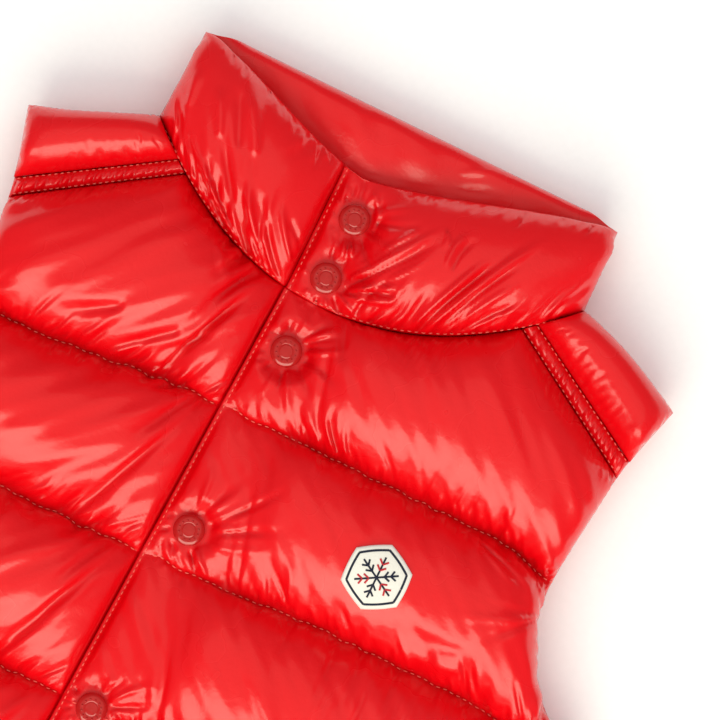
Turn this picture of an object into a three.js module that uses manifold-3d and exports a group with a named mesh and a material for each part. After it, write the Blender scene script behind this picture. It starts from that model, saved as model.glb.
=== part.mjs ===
// A child's down-filled puffer vest, buttoned up and laid flat on its back. Lengths are millimetres.
// X runs to the wearer's left, Y from the hem to the collar and Z up, away from the surface that it lies on.
// The back lies underneath, the two fronts lie on it, and the stand collar lies folded flat above them.
// The origin is under the middle of the vest's outline, on the surface. Inside the functions,
// y is measured from the second snap, which is the garment's own datum, and x from the collar's middle.
import * as THREE from "three";
import { mergeVertices } from "three/addons/utils/BufferGeometryUtils.js";
import Module from "manifold-3d";

const wasm = await Module();
wasm.setup();

// Lengths across and down the garment.
const BAFFLE = 72;
const BAFFLES = 6;
const FIRST_SEAM = -69.5;
const HEM = FIRST_SEAM - BAFFLE * (BAFFLES - 1);
const COLLAR_TOP = 77;
const COLLAR_CORNER = 74;
const COLLAR_DIP = 46.3;
const UNDERARM = -142;
const HALF_CHEST = 190;
const HALF_HEM = 193;
const SCALLOP = 3;
const COLLAR_HALF = 100;
const NECK_HALF = 102;
const NECK_LOW = -12;
const NECK_HIGH = 34.7;
const NAPE = 24;

// Heights above the surface.
const MIDDLE = 17;
const SLIT = 0.15;
const FRONT_INSIDE = MIDDLE + SLIT;
const BACK_INSIDE = MIDDLE - SLIT;
const EDGE_CLOTH = 1.3;
const SEAM_TOP = 22;
const PUFF = 16;
const COLLAR_PUFF = 17;
const YOKE_PUFF = 15;
const GROOVE = 5;
const GATHER = 1.1;
const ROLLED = 5;

// The overlap at the centre front. The wearer's left side lies over the right.
const EDGE_X = -19.5;
const EDGE_LEAN = 0.045;
const UNDERLAP = 22;
const UNDERLAP_TOP = 19.6;
const OVERLAP_INSIDE = 20.3;
const PLACKET = 31;
const EDGE_CLEAR = 0.8;
const FACING = 5;

// Snaps and badge.
const SNAP_IN = 14;
const SNAP_RADIUS = 7;
const SNAP_HEIGHT = 3.4;
const SNAP_SEAT = 25;
const SNAP_PITCH = 88.3;
const SNAP_YS = [28.2, 0, -36.1, ...[0, 1, 2, 3].map((n) => -124.4 - SNAP_PITCH * n)];
const BADGE = { x: 70.7, y: -106.4, radius: 15.5, thickness: 1.6 };

// Half the gap at each seam, and the slack that keeps what lies on a panel off its facets.
const SEAM_HALF = 0.22;
const REST = 0.3;

// The armhole's edge on the wearer's left; the right one mirrors it.
const ARMHOLE = [
  { y: UNDERARM, x: HALF_CHEST },
  { y: -132, x: 169 },
  { y: -119.4, x: 156 },
  { y: -104.2, x: 147.5 },
  { y: -96.4, x: 143.7 },
  { y: -82, x: 141.2 },
  { y: FIRST_SEAM, x: 141.6 },
  { y: -43, x: 144 },
  { y: -17, x: 147.8 },
  { y: 13.8, x: 156.3 },
];
const SHOULDER_TIP = ARMHOLE[ARMHOLE.length - 1];

const RED = new THREE.Color(0.78, 0.012, 0.02);
const shellCloth = (shade) =>
  new THREE.MeshStandardMaterial({ color: RED.clone().multiplyScalar(shade), roughness: 0.28, metalness: 0 });
const ENAMEL_RED = new THREE.Color(0.6, 0.03, 0.03);
const snapEnamel = new THREE.MeshStandardMaterial({ color: ENAMEL_RED, roughness: 0.15, metalness: 0.3 });
const FELT_WHITE = new THREE.Color(0.88, 0.86, 0.78);
const badgeFelt = new THREE.MeshStandardMaterial({ color: FELT_WHITE, roughness: 0.9, metalness: 0 });

const lerp = THREE.MathUtils.lerp;
const clamp = (t) => Math.min(1, Math.max(0, t));
const smooth = (from, to, t) => THREE.MathUtils.smoothstep(t, from, to);

// 0 at a pad's edge and 1 from `width` inwards, rising as a quarter round.
const rounded = (inwards, width) => Math.sqrt(1 - (1 - clamp(inwards / width)) ** 2);

// How full a baffle is at a share s of its height: 0 on its seams and 1 between them.
const crown = (s) => (1 - Math.abs(2 * clamp(s) - 1) ** 2.3) ** 0.72;

// The x of the armhole's edge at a height, from the table's rows.
function armholeX(y) {
  const above = ARMHOLE.findIndex((row) => row.y >= y);
  if (above < 0) return SHOULDER_TIP.x;
  if (above === 0) return ARMHOLE[0].x;
  const [low, high] = [ARMHOLE[above - 1], ARMHOLE[above]];
  return lerp(low.x, high.x, (y - low.y) / (high.y - low.y));
}

// The share of its baffle's height that y has reached, for the baffles between straight seams.
const shareOfBaffle = (y) => (((y - HEM) / BAFFLE) % 1 + 1) % 1;

// Half the body's width at a height: the side seam, a little scalloped, then the armhole.
function halfWidth(y) {
  if (y > UNDERARM) return armholeX(y);
  const down = (UNDERARM - y) / (UNDERARM - HEM);
  return lerp(HALF_CHEST, HALF_HEM, down) + SCALLOP * crown(shareOfBaffle(y)) * smooth(0, 0.1, down);
}

// The seams round the neck and shoulders as y over x. They were laid out a little higher on the left.
const tilt = (x) => 0.022 * x;
const neckFront = (x) => NECK_LOW + (NECK_HIGH - NECK_LOW) * (Math.abs(x) / NECK_HALF) ** 2.1 + tilt(x);
const neckBack = (x) => NAPE + (NECK_HIGH - NAPE) * (Math.abs(x) / NECK_HALF) ** 2 + tilt(x);
const bandInner = (x) => 14.8 - 0.63 * (Math.abs(x) - 82.5) + tilt(x);
const bandOuter = (x) => 20 - 0.61 * (Math.abs(x) - 87) + tilt(x);
const yokeBackSeam = (x) => 30 - 0.7 * (Math.abs(x) - 80) + tilt(x);
const frontEdge = (y) => EDGE_X + EDGE_LEAN * Math.min(0, y);
const frontTop = (x) => Math.min(neckFront(x), bandInner(x)) - SEAM_HALF;
const backTop = (x) => Math.min(neckBack(x), yokeBackSeam(x)) - SEAM_HALF;
const tipY = (sign) => SHOULDER_TIP.y - 1.2 + 1.2 * sign;

// The x at which two of the seams cross, out from the middle on the side of the sign, by halving.
function corner(sign, one, other) {
  let [low, high] = [60, 101];
  for (let step = 0; step < 40; step++) {
    const middle = (low + high) / 2;
    if (one(sign * middle) < other(sign * middle)) low = middle;
    else high = middle;
  }
  return sign * low;
}

// The y at which a seam over x meets an edge over y, by going to and fro between them.
function meeting(edgeX, seamY) {
  let y = -10;
  for (let step = 0; step < 40; step++) y = seamY(edgeX(y));
  return y;
}

// How far a seam between two baffles strays from level, by its number from the hem: the upper ones droop at
// the armholes, and the next rises a little under the badge.
function stray(seam, x) {
  const out = Math.abs(x);
  if (seam === BAFFLES - 1) return x < 0 ? -7 * smooth(20, 125, out) : -7 * smooth(110, 146, out);
  if (seam === BAFFLES - 2) return (x < 0 ? -2 : 3.2) * smooth(10, 60, out) * (1 - smooth(125, 160, out));
  return 0;
}

// A closed body from two sheets of points over one grid, joined all round their rims. outer and inner take a
// column and a row number and give [x, y, z]. The triangles are turned round if they come out facing inwards.
function closedSheet(columns, rows, outer, inner) {
  const points = [];
  const faces = [];
  const at = (layer, i, j) => (layer * (rows + 1) + j) * (columns + 1) + i;
  [outer, inner].forEach((sheet) => {
    for (let j = 0; j <= rows; j++)
      for (let i = 0; i <= columns; i++) points.push(...sheet(i, j));
  });
  const quad = (a, b, c, d) => faces.push(a, b, c, a, c, d);
  for (let j = 0; j < rows; j++)
    for (let i = 0; i < columns; i++) {
      quad(at(0, i, j), at(0, i + 1, j), at(0, i + 1, j + 1), at(0, i, j + 1));
      quad(at(1, i, j), at(1, i, j + 1), at(1, i + 1, j + 1), at(1, i + 1, j));
    }
  for (let i = 0; i < columns; i++) {
    quad(at(0, i, 0), at(1, i, 0), at(1, i + 1, 0), at(0, i + 1, 0));
    quad(at(0, i, rows), at(0, i + 1, rows), at(1, i + 1, rows), at(1, i, rows));
  }
  for (let j = 0; j < rows; j++) {
    quad(at(0, 0, j), at(0, 0, j + 1), at(1, 0, j + 1), at(1, 0, j));
    quad(at(0, columns, j), at(1, columns, j), at(1, columns, j + 1), at(0, columns, j + 1));
  }
  const [a, b, c] = [0, 1, 2].map(() => new THREE.Vector3());
  let volume = 0;
  for (let k = 0; k < faces.length; k += 3) {
    [a, b, c].forEach((corner, n) => corner.fromArray(points, 3 * faces[k + n]));
    volume += a.dot(b.cross(c));
  }
  if (volume < 0) {
    for (let k = 0; k < faces.length; k += 3) [faces[k], faces[k + 1]] = [faces[k + 1], faces[k]];
  }
  const geometry = new THREE.BufferGeometry();
  geometry.setAttribute("position", new THREE.Float32BufferAttribute(points, 3));
  geometry.setIndex(faces);
  return geometry;
}

// Columns of a panel. Each lies in a strip between two of the panel's edges, at a share across the strip.
function columnsOf(strips) {
  return strips.flatMap((shares, strip) => shares.map((across) => ({ strip, across })));
}
const spread = (count, power) => Array.from({ length: count }, (_, i) => (i / count) ** power);
const spreadBack = (count, power) => Array.from({ length: count + 1 }, (_, i) => 1 - (1 - i / count) ** power);

// Rows of a stack of baffles, closer together beside the seams. Each gives its baffle, counted from the
// hem, and its share of that baffle's height.
function baffleRows(shares) {
  const rows = [];
  for (let baffle = 0; baffle < BAFFLES; baffle++) shares.forEach((share) => rows.push({ baffle, share }));
  return [...rows, { baffle: BAFFLES - 1, share: 1 }];
}
const FRONT_ROWS = baffleRows([0, 0.08, 0.26, 0.52, 0.78, 0.93]);
const BACK_ROWS = baffleRows([0, 0.07, 0.5, 0.93]);

// The plan of a body panel: its point at a column and at a row of the stack. edges holds the x over y of each
// strip's sides, from one side of the panel to the other, and topSeam is where the top baffle ends.
function panelPlan(edges, topSeam, column, row) {
  const [one, other] = [edges[column.strip], edges[column.strip + 1]];
  const between = (y) => lerp(one(y), other(y), column.across);
  const level = HEM + BAFFLE * (row.baffle + row.share);
  const strayed = (x) => level + lerp(stray(row.baffle, x), stray(row.baffle + 1, x), row.share);
  if (row.baffle < BAFFLES - 1) {
    const x = lerp(one(strayed(one(level))), other(strayed(other(level))), column.across);
    return [x, strayed(x)];
  }
  // In the top baffle a column runs from its place on the first seam to its place on the top seam, and bows
  // with its strip's sides on the way.
  const start = between(FIRST_SEAM);
  const startY = FIRST_SEAM + stray(row.baffle, start);
  const [oneY, otherY] = [meeting(one, topSeam), meeting(other, topSeam)];
  const end = lerp(one(oneY), other(otherY), column.across);
  const bow = (edge, endY) => {
    const sideStart = FIRST_SEAM + stray(row.baffle, edge(FIRST_SEAM));
    return edge(lerp(sideStart, endY, row.share)) - lerp(edge(FIRST_SEAM), edge(endY), row.share);
  };
  const bows = bow(one, oneY) * (1 - column.across) ** 5 + bow(other, otherY) * column.across ** 5;
  const ends = row.share === 1 ? 0 : bows;
  return [lerp(start, end, row.share) + ends, lerp(startY, topSeam(end), row.share)];
}

// A small wave that runs into a seam, up on one column and down on the next.
function gathered(column, row) {
  const besideSeam = row.share > 0 && Math.abs(row.share - 0.5) > 0.35;
  const side = column % 2 ? 1 : -1;
  return besideSeam ? GATHER * side : 0;
}

// The snaps press a flat seat into the cloth round them.
function pressedBySnaps(x, y, z) {
  return SNAP_YS.reduce((height, snapY) => {
    const away = Math.hypot(x - snapX(snapY), y - snapY);
    return lerp(SNAP_SEAT - 0.2, height, smooth(SNAP_RADIUS + 1, SNAP_RADIUS + 13, away));
  }, z);
}
function snapX(y) {
  return frontEdge(y) + SNAP_IN;
}

// The outer height of the wearer's left front. Its free edge is thin, and the cloth fills out away from it.
function leftFrontTop(x, y, share) {
  const fromEdge = x - frontEdge(y);
  const full = 0.18 + 0.82 * rounded(fromEdge, 48);
  const height = SEAM_TOP + PUFF * crown(share) * full;
  const side = rounded(halfWidth(y) - x, 24);
  return pressedBySnaps(x, y, lerp(FRONT_INSIDE + EDGE_CLOTH, height, side));
}
const leftFrontInside = (x, y) =>
  lerp(OVERLAP_INSIDE, FRONT_INSIDE, smooth(UNDERLAP + 2, PLACKET, x - frontEdge(y)));

// The outer height of the wearer's right front. It rounds down to a thin facing that goes under the left front.
function rightFrontTop(x, y, share) {
  const beforeEdge = frontEdge(y) - EDGE_CLEAR - x;
  const height = SEAM_TOP + PUFF * crown(share);
  const side = rounded(x + halfWidth(y), 24);
  const padded = lerp(FRONT_INSIDE + EDGE_CLOTH, height, side);
  return lerp(UNDERLAP_TOP, padded, rounded(beforeEdge, 20));
}

const placketEnd = (y) => frontEdge(y) + PLACKET;

function leftFront() {
  const edges = [frontEdge, placketEnd, halfWidth];
  const columns = columnsOf([[0, 0.07, 0.21, 0.45, 0.72, 0.78], columnShares(edges, frontTop, 1)]);
  const plan = (i, j) => panelPlan(edges, frontTop, columns[i], FRONT_ROWS[j]);
  const outer = (i, j) => {
    const [x, y] = plan(i, j);
    const wave = i > 1 && i < columns.length - 2 ? gathered(i, FRONT_ROWS[j]) : 0;
    return [x, y, leftFrontTop(x, y, FRONT_ROWS[j].share) + wave];
  };
  const inner = (i, j) => {
    const [x, y] = plan(i, j);
    return [x, y, leftFrontInside(x, y)];
  };
  return closedSheet(columns.length - 1, FRONT_ROWS.length - 1, outer, inner);
}

// The shares across a panel's wide strip, from the centre to the side, with one at the corner of its top edge
// and closer together at both ends.
function columnShares(edges, topSeam, sign) {
  const [one, other] = edges.slice(-2);
  const [from, to] = [one(meeting(one, topSeam)), other(meeting(other, topSeam))];
  const share = (corner(sign, neckFront, bandInner) - from) / (to - from);
  const inner = spread(8, 1.15).map((t) => t * share);
  return [...inner, ...spreadBack(6, 1.35).map((t) => share + (1 - share) * t)];
}

function rightFront() {
  const edges = [(y) => frontEdge(y) + UNDERLAP, (y) => frontEdge(y) - FACING, (y) => -halfWidth(y)];
  const columns = columnsOf([[0, 0.4, 0.835, 0.9], columnShares(edges, frontTop, -1)]);
  const plan = (i, j) => panelPlan(edges, frontTop, columns[i], FRONT_ROWS[j]);
  const outer = (i, j) => {
    const [x, y] = plan(i, j);
    const wave = i > 5 && i < columns.length - 2 ? gathered(i, FRONT_ROWS[j]) : 0;
    return [x, y, rightFrontTop(x, y, FRONT_ROWS[j].share) + wave];
  };
  const inner = (i, j) => [...plan(i, j), FRONT_INSIDE];
  return closedSheet(columns.length - 1, FRONT_ROWS.length - 1, outer, inner);
}

// The back: plain and level inside, flat underneath, with a groove along each seam and rounded edges.
function back() {
  const neckCorner = (sign) => corner(sign, (x) => -yokeBackSeam(x), (x) => -neckBack(x));
  const side = (sign) => (y) => sign * halfWidth(y);
  const cornerLine = (sign) => () => neckCorner(sign);
  const edges = [side(-1), cornerLine(-1), cornerLine(1), side(1)];
  const outwards = spreadBack(5, 1.35);
  const inwards = outwards.map((t) => 1 - t).reverse();
  const columns = columnsOf([inwards.slice(0, -1), spread(8, 1), outwards]);
  const plan = (i, j) => panelPlan(edges, backTop, columns[i], BACK_ROWS[j]);
  const underneath = (i, j) => {
    const [x, y] = plan(i, j);
    const seam = BACK_ROWS[j].share === 0 || BACK_ROWS[j].share === 1 ? GROOVE : 0;
    const edge = rounded(halfWidth(y) - Math.abs(x), 16);
    return [x, y, Math.max(seam, lerp(BACK_INSIDE - EDGE_CLOTH, 0, edge))];
  };
  const inside = (i, j) => [...plan(i, j), BACK_INSIDE];
  return closedSheet(columns.length - 1, BACK_ROWS.length - 1, underneath, inside);
}

// The stand collar is one padded band, from under the overlap, round the wearer's right side fold, across the
// back, round the left side fold and on over the overlap. Each section is a place along it: side is -1 on the
// right front, 0 across the back and 1 on the left front, x is its place across and fold how far it lies
// inside the nearer side fold.
function collarSections() {
  const beside = [2, 5.5, 10, 16, 24];
  const across = (from, to, count) => Array.from({ length: count }, (_, i) => lerp(from, to, i / (count - 1)));
  const inFold = (side, sign) => beside.map((fold) => ({ side, x: sign * (COLLAR_HALF - fold), fold }));
  const flat = (side, xs) => xs.map((x) => ({ side, x, fold: COLLAR_HALF - Math.abs(x) }));
  const facing = flat(-1, [1.5, -9, -19.5, -21.5, -24, -28]);
  const right = [...facing, ...flat(-1, across(-35, -68, 6)), ...inFold(-1, -1).reverse()];
  const behind = [...inFold(0, -1), ...flat(0, across(-62, 62, 9)), ...inFold(0, 1).reverse()];
  const left = [...inFold(1, 1), ...flat(1, across(68, 5, 10)), ...flat(1, [-1, -6.5, -12, -17, -20.5])];
  return [...right, { side: -1, x: -COLLAR_HALF, fold: 0 }, ...behind, { side: 1, x: COLLAR_HALF, fold: 0 }, ...left];
}

// The top edge of the collar's front, lowest at the overlap and rising to the side folds.
function collarFrontTop(x) {
  const reach = x < -10 ? COLLAR_HALF - 10 : COLLAR_HALF + 10;
  const out = clamp(Math.abs(x + 10) / reach);
  return COLLAR_DIP + (COLLAR_CORNER - COLLAR_DIP) * (out + smooth(0, 1, out)) * 0.5;
}

const COLLAR_ROWS = [0, 0.07, 0.22, 0.45, 0.7, 0.88, 1];

// The plan of a collar point at a share of the collar's height. Below, the band follows the neck seam, and its
// side folds lean outwards to the wider neck.
function collarPlan(section, share) {
  const top = section.side === 0 ? COLLAR_TOP : collarFrontTop(section.x);
  const lean = (NECK_HALF / COLLAR_HALF - 1) * (1 - share) * smooth(0.5, 1, Math.abs(section.x) / COLLAR_HALF);
  const x = section.x * (1 + lean);
  const seam = (section.side === 0 ? neckBack(x) : neckFront(x)) + SEAM_HALF;
  return [x, lerp(seam, lerp(COLLAR_CORNER, top, smooth(0, 16, section.fold)), share)];
}

// How thick the collar's front pad is at a share of its height: pinched at the neck seam, full, then rounded.
const collarFull = (share) => 0.2 + 0.8 * (1 - Math.abs(2 * clamp(0.06 + share * 0.88) - 1) ** 2.6) ** 0.6;

function collar() {
  const sections = collarSections();
  const frontHeight = (section, share) => {
    const wave = section.side && section.fold > 12 ? 1.3 * Math.sin(section.x * 0.9) * smooth(0.5, 0.07, share) : 0;
    return SEAM_TOP - 1 + (COLLAR_PUFF + wave) * collarFull(share);
  };
  const outer = (i, j) => {
    const section = sections[i];
    const share = COLLAR_ROWS[j];
    const [x, y] = collarPlan(section, share);
    const rolled = ROLLED * (1 - rounded(1 - share, 0.15));
    if (section.side === 0) return [x, y, Math.max(rolled, MIDDLE * (1 - rounded(section.fold, 13)))];
    const height = lerp(MIDDLE, frontHeight(section, share), rounded(section.fold, 26));
    if (section.side < 0) return [x, y, lerp(UNDERLAP_TOP, height, rounded(EDGE_X - EDGE_CLEAR - section.x, 16))];
    const nearEdge = lerp(SNAP_SEAT + 0.4, height, rounded(section.x - EDGE_X - 20, 30));
    return [x, y, pressedBySnaps(x, y, nearEdge)];
  };
  const inner = (i, j) => {
    const section = sections[i];
    const share = COLLAR_ROWS[j];
    const padding = 6 * (1 - clamp(section.fold / 24));
    const side = section.fold === 0 ? 0 : section.side;
    const moved = { ...section, side, x: section.x - Math.sign(section.x) * padding };
    const [x, y] = collarPlan(moved, share);
    if (section.fold === 0) return [x, y, MIDDLE];
    const rolled = ROLLED * (1 - rounded(1 - share, 0.15));
    if (section.side === 0) return [x, y, BACK_INSIDE - rolled * smooth(6, 20, section.fold)];
    if (section.side < 0) return [x, y, FRONT_INSIDE];
    return [x, y, lerp(OVERLAP_INSIDE, FRONT_INSIDE, smooth(UNDERLAP + 1.5, UNDERLAP + 9, section.x - EDGE_X))];
  };
  return closedSheet(sections.length - 1, COLLAR_ROWS.length - 1, outer, inner);
}

// A shoulder yoke is one pad folded over the shoulder: its upper layer reaches the shoulder band and its lower
// layer the back. Its section is a walk from the band, over the fold and under to the back.
const YOKE_WALK = [
  { layer: 1, out: 0 },
  { layer: 1, out: 0.12 },
  { layer: 1, out: 0.4 },
  { layer: 1, out: 0.7 },
  { layer: 1, out: 0.9 },
  { layer: 1, out: 1 },
  { layer: 0, out: 0.9 },
  { layer: 0, out: 0.6 },
  { layer: 0, out: 0.1 },
  { layer: 0, out: 0 },
];
const YOKE_STATIONS = 9;

function yoke(sign, shoulderBow) {
  const frontNeck = corner(sign, neckFront, bandOuter);
  const backNeck = corner(sign, (x) => -yokeBackSeam(x), (x) => -neckBack(x));
  const side = (y) => sign * armholeX(y);
  const ends = { front: meeting(side, bandOuter), back: meeting(side, yokeBackSeam) };
  // The pad's plan at a share along the shoulder, from neck to armhole, and so far out towards the fold.
  const plan = (along, front, out) => {
    const seamX = lerp(front ? frontNeck : backNeck, side(front ? ends.front : ends.back), along);
    const seamY = (front ? bandOuter : yokeBackSeam)(seamX) + SEAM_HALF;
    const neckX = lerp(front ? frontNeck : backNeck, sign * NECK_HALF, out);
    const neckY = (front ? neckFront : neckBack)(neckX) - SEAM_HALF;
    const armY = lerp(front ? ends.front : ends.back, tipY(sign), out) + SEAM_HALF * (1 - out);
    const bow = shoulderBow * Math.sin(Math.PI * along) * out;
    if (out === 0) return [seamX + sign * SEAM_HALF * 1.5 * (1 - along), seamY];
    return [lerp(neckX, side(armY), along), lerp(neckY, armY, along) + bow];
  };
  const outer = (i, j) => {
    const step = YOKE_WALK[j];
    const along = i / YOKE_STATIONS;
    const [x, y] = plan(along, step.layer === 1, step.out);
    const end = rounded(1 - along, 0.16) * (0.55 + 0.45 * rounded(along, 0.2));
    const round = Math.sqrt(1 - step.out ** 2.4);
    const edge = BACK_INSIDE - EDGE_CLOTH;
    if (step.layer === 0) return [x, y, edge * (1 - rounded(1 - step.out, 0.45) * clamp(end * 1.6))];
    const rise = SEAM_TOP - MIDDLE + YOKE_PUFF * Math.min(1, step.out * 3 + 0.05) * end;
    return [x, y, Math.max(MIDDLE + rise * round, step.out < 1 ? FRONT_INSIDE + EDGE_CLOTH : MIDDLE)];
  };
  const inner = (i, j) => {
    const step = YOKE_WALK[j];
    const [x, y] = plan(i / YOKE_STATIONS, step.layer === 1, step.out * 0.86);
    if (step.out === 1) return [x, y, MIDDLE];
    return [x, y, step.layer ? FRONT_INSIDE : BACK_INSIDE];
  };
  return closedSheet(YOKE_STATIONS, YOKE_WALK.length - 1, outer, inner);
}

// A shoulder band: the narrow gathered strip between a front's top seam and the yoke.
const BAND_GATHERS = 16;
function shoulderBand(sign) {
  const columns = BAND_GATHERS * 2;
  const rows = 3;
  const side = (y) => sign * armholeX(y);
  const ends = [meeting(side, bandInner), meeting(side, bandOuter)];
  const necks = [corner(sign, neckFront, bandInner), corner(sign, neckFront, bandOuter)];
  const plan = (i, j) => {
    const across = j / rows;
    const neckX = lerp(...necks, across) + sign * 2 * SEAM_HALF;
    const x = lerp(neckX, side(lerp(...ends, across)), i / columns);
    return [x, lerp(bandInner(x) + SEAM_HALF, bandOuter(x) - SEAM_HALF, across)];
  };
  const outer = (i, j) => {
    const middle = j > 0 && j < rows;
    const end = rounded(1 - i / columns, 0.12);
    const wave = middle && i > 0 && i < columns ? 0.8 * (i % 2 ? 1 : -1) : 0;
    return [...plan(i, j), lerp(FRONT_INSIDE + EDGE_CLOTH, SEAM_TOP + (middle ? 2.4 : 0) + wave, end)];
  };
  return closedSheet(columns, rows, outer, (i, j) => [...plan(i, j), FRONT_INSIDE]);
}

// A snap's cap: a low enamelled button with a rolled rim and a shallow dish in its face.
function snapCap() {
  const profile = [
    [0, 0],
    [SNAP_RADIUS - 1, 0],
    [SNAP_RADIUS, 1],
    [SNAP_RADIUS, 2.2],
    [SNAP_RADIUS - 0.8, SNAP_HEIGHT],
    [SNAP_RADIUS - 1.8, SNAP_HEIGHT - 0.3],
    [0, SNAP_HEIGHT - 0.1],
  ].map(([radius, height]) => new THREE.Vector2(radius, height));
  return new THREE.LatheGeometry(profile, 16).rotateX(Math.PI / 2);
}

// The badge: a felt hexagon with soft corners, bent to the baffle that it is sewn to.
function badge() {
  const rings = [0, 0.35, 0.7, 1];
  const sides = 36;
  const layer = (lift) => (i, j) => {
    const turn = (i / sides) * 2 * Math.PI;
    const hexagon = Math.cos(Math.PI / 6) / Math.cos(((turn + Math.PI / 6) % (Math.PI / 3)) - Math.PI / 6);
    const radius = BADGE.radius * rings[j] * lerp(1, hexagon, 0.85);
    const [x, y] = [BADGE.x + radius * Math.cos(turn), BADGE.y + radius * Math.sin(turn)];
    return [x, y, leftFrontTop(x, y, shareOfBaffle(y)) + lift];
  };
  const points = [];
  const faces = [];
  [BADGE.thickness + REST + 0.1, REST + 0.1].forEach((lift) => {
    const start = points.length / 3;
    points.push(...layer(lift)(0, 0));
    for (let j = 1; j < rings.length; j++)
      for (let i = 0; i < sides; i++) points.push(...layer(lift)(i, j));
    const at = (i, j) => (j === 0 ? start : start + 1 + (j - 1) * sides + (i % sides));
    const turned = start > 0;
    const add = (a, b, c) => faces.push(...(turned ? [a, c, b] : [a, b, c]));
    for (let i = 0; i < sides; i++) {
      add(at(0, 0), at(i, 1), at(i + 1, 1));
      for (let j = 1; j < rings.length - 1; j++) {
        add(at(i, j), at(i, j + 1), at(i + 1, j + 1));
        add(at(i, j), at(i + 1, j + 1), at(i + 1, j));
      }
    }
  });
  const count = points.length / 6;
  for (let i = 0; i < sides; i++) {
    const rim = (k) => 1 + (rings.length - 2) * sides + (k % sides);
    const [a, b] = [rim(i), rim(i + 1)];
    faces.push(a, a + count, b + count, a, b + count, b);
  }
  const geometry = new THREE.BufferGeometry();
  geometry.setAttribute("position", new THREE.Float32BufferAttribute(points, 3));
  geometry.setIndex(faces);
  return geometry;
}

// A geometry as a manifold-3d solid, and back.
function solidOf(geometry) {
  const bare = geometry.clone();
  bare.deleteAttribute("normal");
  bare.deleteAttribute("uv");
  const merged = mergeVertices(bare, 1e-3);
  return new wasm.Manifold(
    new wasm.Mesh({
      numProp: 3,
      vertProperties: merged.attributes.position.array,
      triVerts: new Uint32Array(merged.index.array),
    }),
  );
}
function geometryOf(solid) {
  const mesh = solid.getMesh();
  return new THREE.BufferGeometry()
    .setAttribute("position", new THREE.BufferAttribute(mesh.vertProperties, 3))
    .setIndex(new THREE.BufferAttribute(mesh.triVerts, 1));
}

// The panel with a flat seat cut into it under each of its snaps.
function withSnapSeats(geometry, snapYs) {
  const deep = 30;
  return geometryOf(
    snapYs.reduce((solid, y) => {
      const well = new THREE.CylinderGeometry(SNAP_RADIUS + 0.6, SNAP_RADIUS + 0.6, deep, 16);
      well.rotateX(Math.PI / 2).translate(snapX(y), y, SNAP_SEAT + deep / 2);
      return solid.subtract(solidOf(well));
    }, solidOf(geometry)),
  );
}

const vest = new THREE.Group();
vest.name = "puffer_vest";
vest.position.y = -(HEM + COLLAR_TOP) / 2;

function add(name, geometry, material) {
  geometry.computeVertexNormals();
  const mesh = new THREE.Mesh(geometry, material);
  mesh.name = name;
  vest.add(mesh);
  return mesh;
}

const collarSnaps = SNAP_YS.slice(0, 2);
const bodySnaps = SNAP_YS.slice(2);
add("back_panel", back(), shellCloth(0.9));
add("front_panel_right", rightFront(), shellCloth(1));
add("front_panel_left", withSnapSeats(leftFront(), bodySnaps), shellCloth(1));
add("collar", withSnapSeats(collar(), collarSnaps), shellCloth(1.05));
add("shoulder_yoke_right", yoke(-1, -1.5), shellCloth(0.95));
add("shoulder_yoke_left", yoke(1, 1.5), shellCloth(0.95));
add("shoulder_band_right", shoulderBand(-1), shellCloth(0.85));
add("shoulder_band_left", shoulderBand(1), shellCloth(0.85));
SNAP_YS.forEach((y, n) => {
  add(`snap_${n + 1}`, snapCap(), snapEnamel).position.set(snapX(y), y, SNAP_SEAT + REST);
});
add("badge", badge(), badgeFelt);

export default vest;
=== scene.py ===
"""A child's glossy puffer vest, laid flat: its padded shells, stitching, snaps and badge, and the studio."""
import math

import bmesh
import bpy
import numpy as np
from bpy.props import FloatProperty, FloatVectorProperty, PointerProperty
from bpy.types import Operator, Panel, PropertyGroup
from mathutils import Matrix, Vector


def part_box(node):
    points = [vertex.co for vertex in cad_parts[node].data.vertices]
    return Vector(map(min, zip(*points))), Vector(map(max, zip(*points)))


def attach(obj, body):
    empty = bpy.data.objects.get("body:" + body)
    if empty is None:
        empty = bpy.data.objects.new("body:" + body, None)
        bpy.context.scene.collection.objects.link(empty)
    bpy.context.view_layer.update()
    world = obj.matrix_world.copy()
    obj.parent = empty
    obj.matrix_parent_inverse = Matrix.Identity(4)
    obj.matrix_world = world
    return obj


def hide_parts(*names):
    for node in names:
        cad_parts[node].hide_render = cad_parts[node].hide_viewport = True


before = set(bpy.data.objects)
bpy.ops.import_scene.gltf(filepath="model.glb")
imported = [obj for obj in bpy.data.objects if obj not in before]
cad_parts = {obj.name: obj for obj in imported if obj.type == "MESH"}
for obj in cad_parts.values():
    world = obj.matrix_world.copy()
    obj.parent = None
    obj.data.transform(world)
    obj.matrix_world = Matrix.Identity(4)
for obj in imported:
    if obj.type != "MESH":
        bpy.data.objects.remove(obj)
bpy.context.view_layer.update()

bl_info = {
    "name": "Puffer Vest Laid Flat",
    "version": (1, 0, 0),
    "blender": (4, 5, 0),
    "location": "View3D > Sidebar > Vest",
    "description": "Makes the padded shells, stitching, snaps and badge of a puffer vest, and a studio",
    "category": "Add Mesh",
}

MM = 0.001

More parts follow.
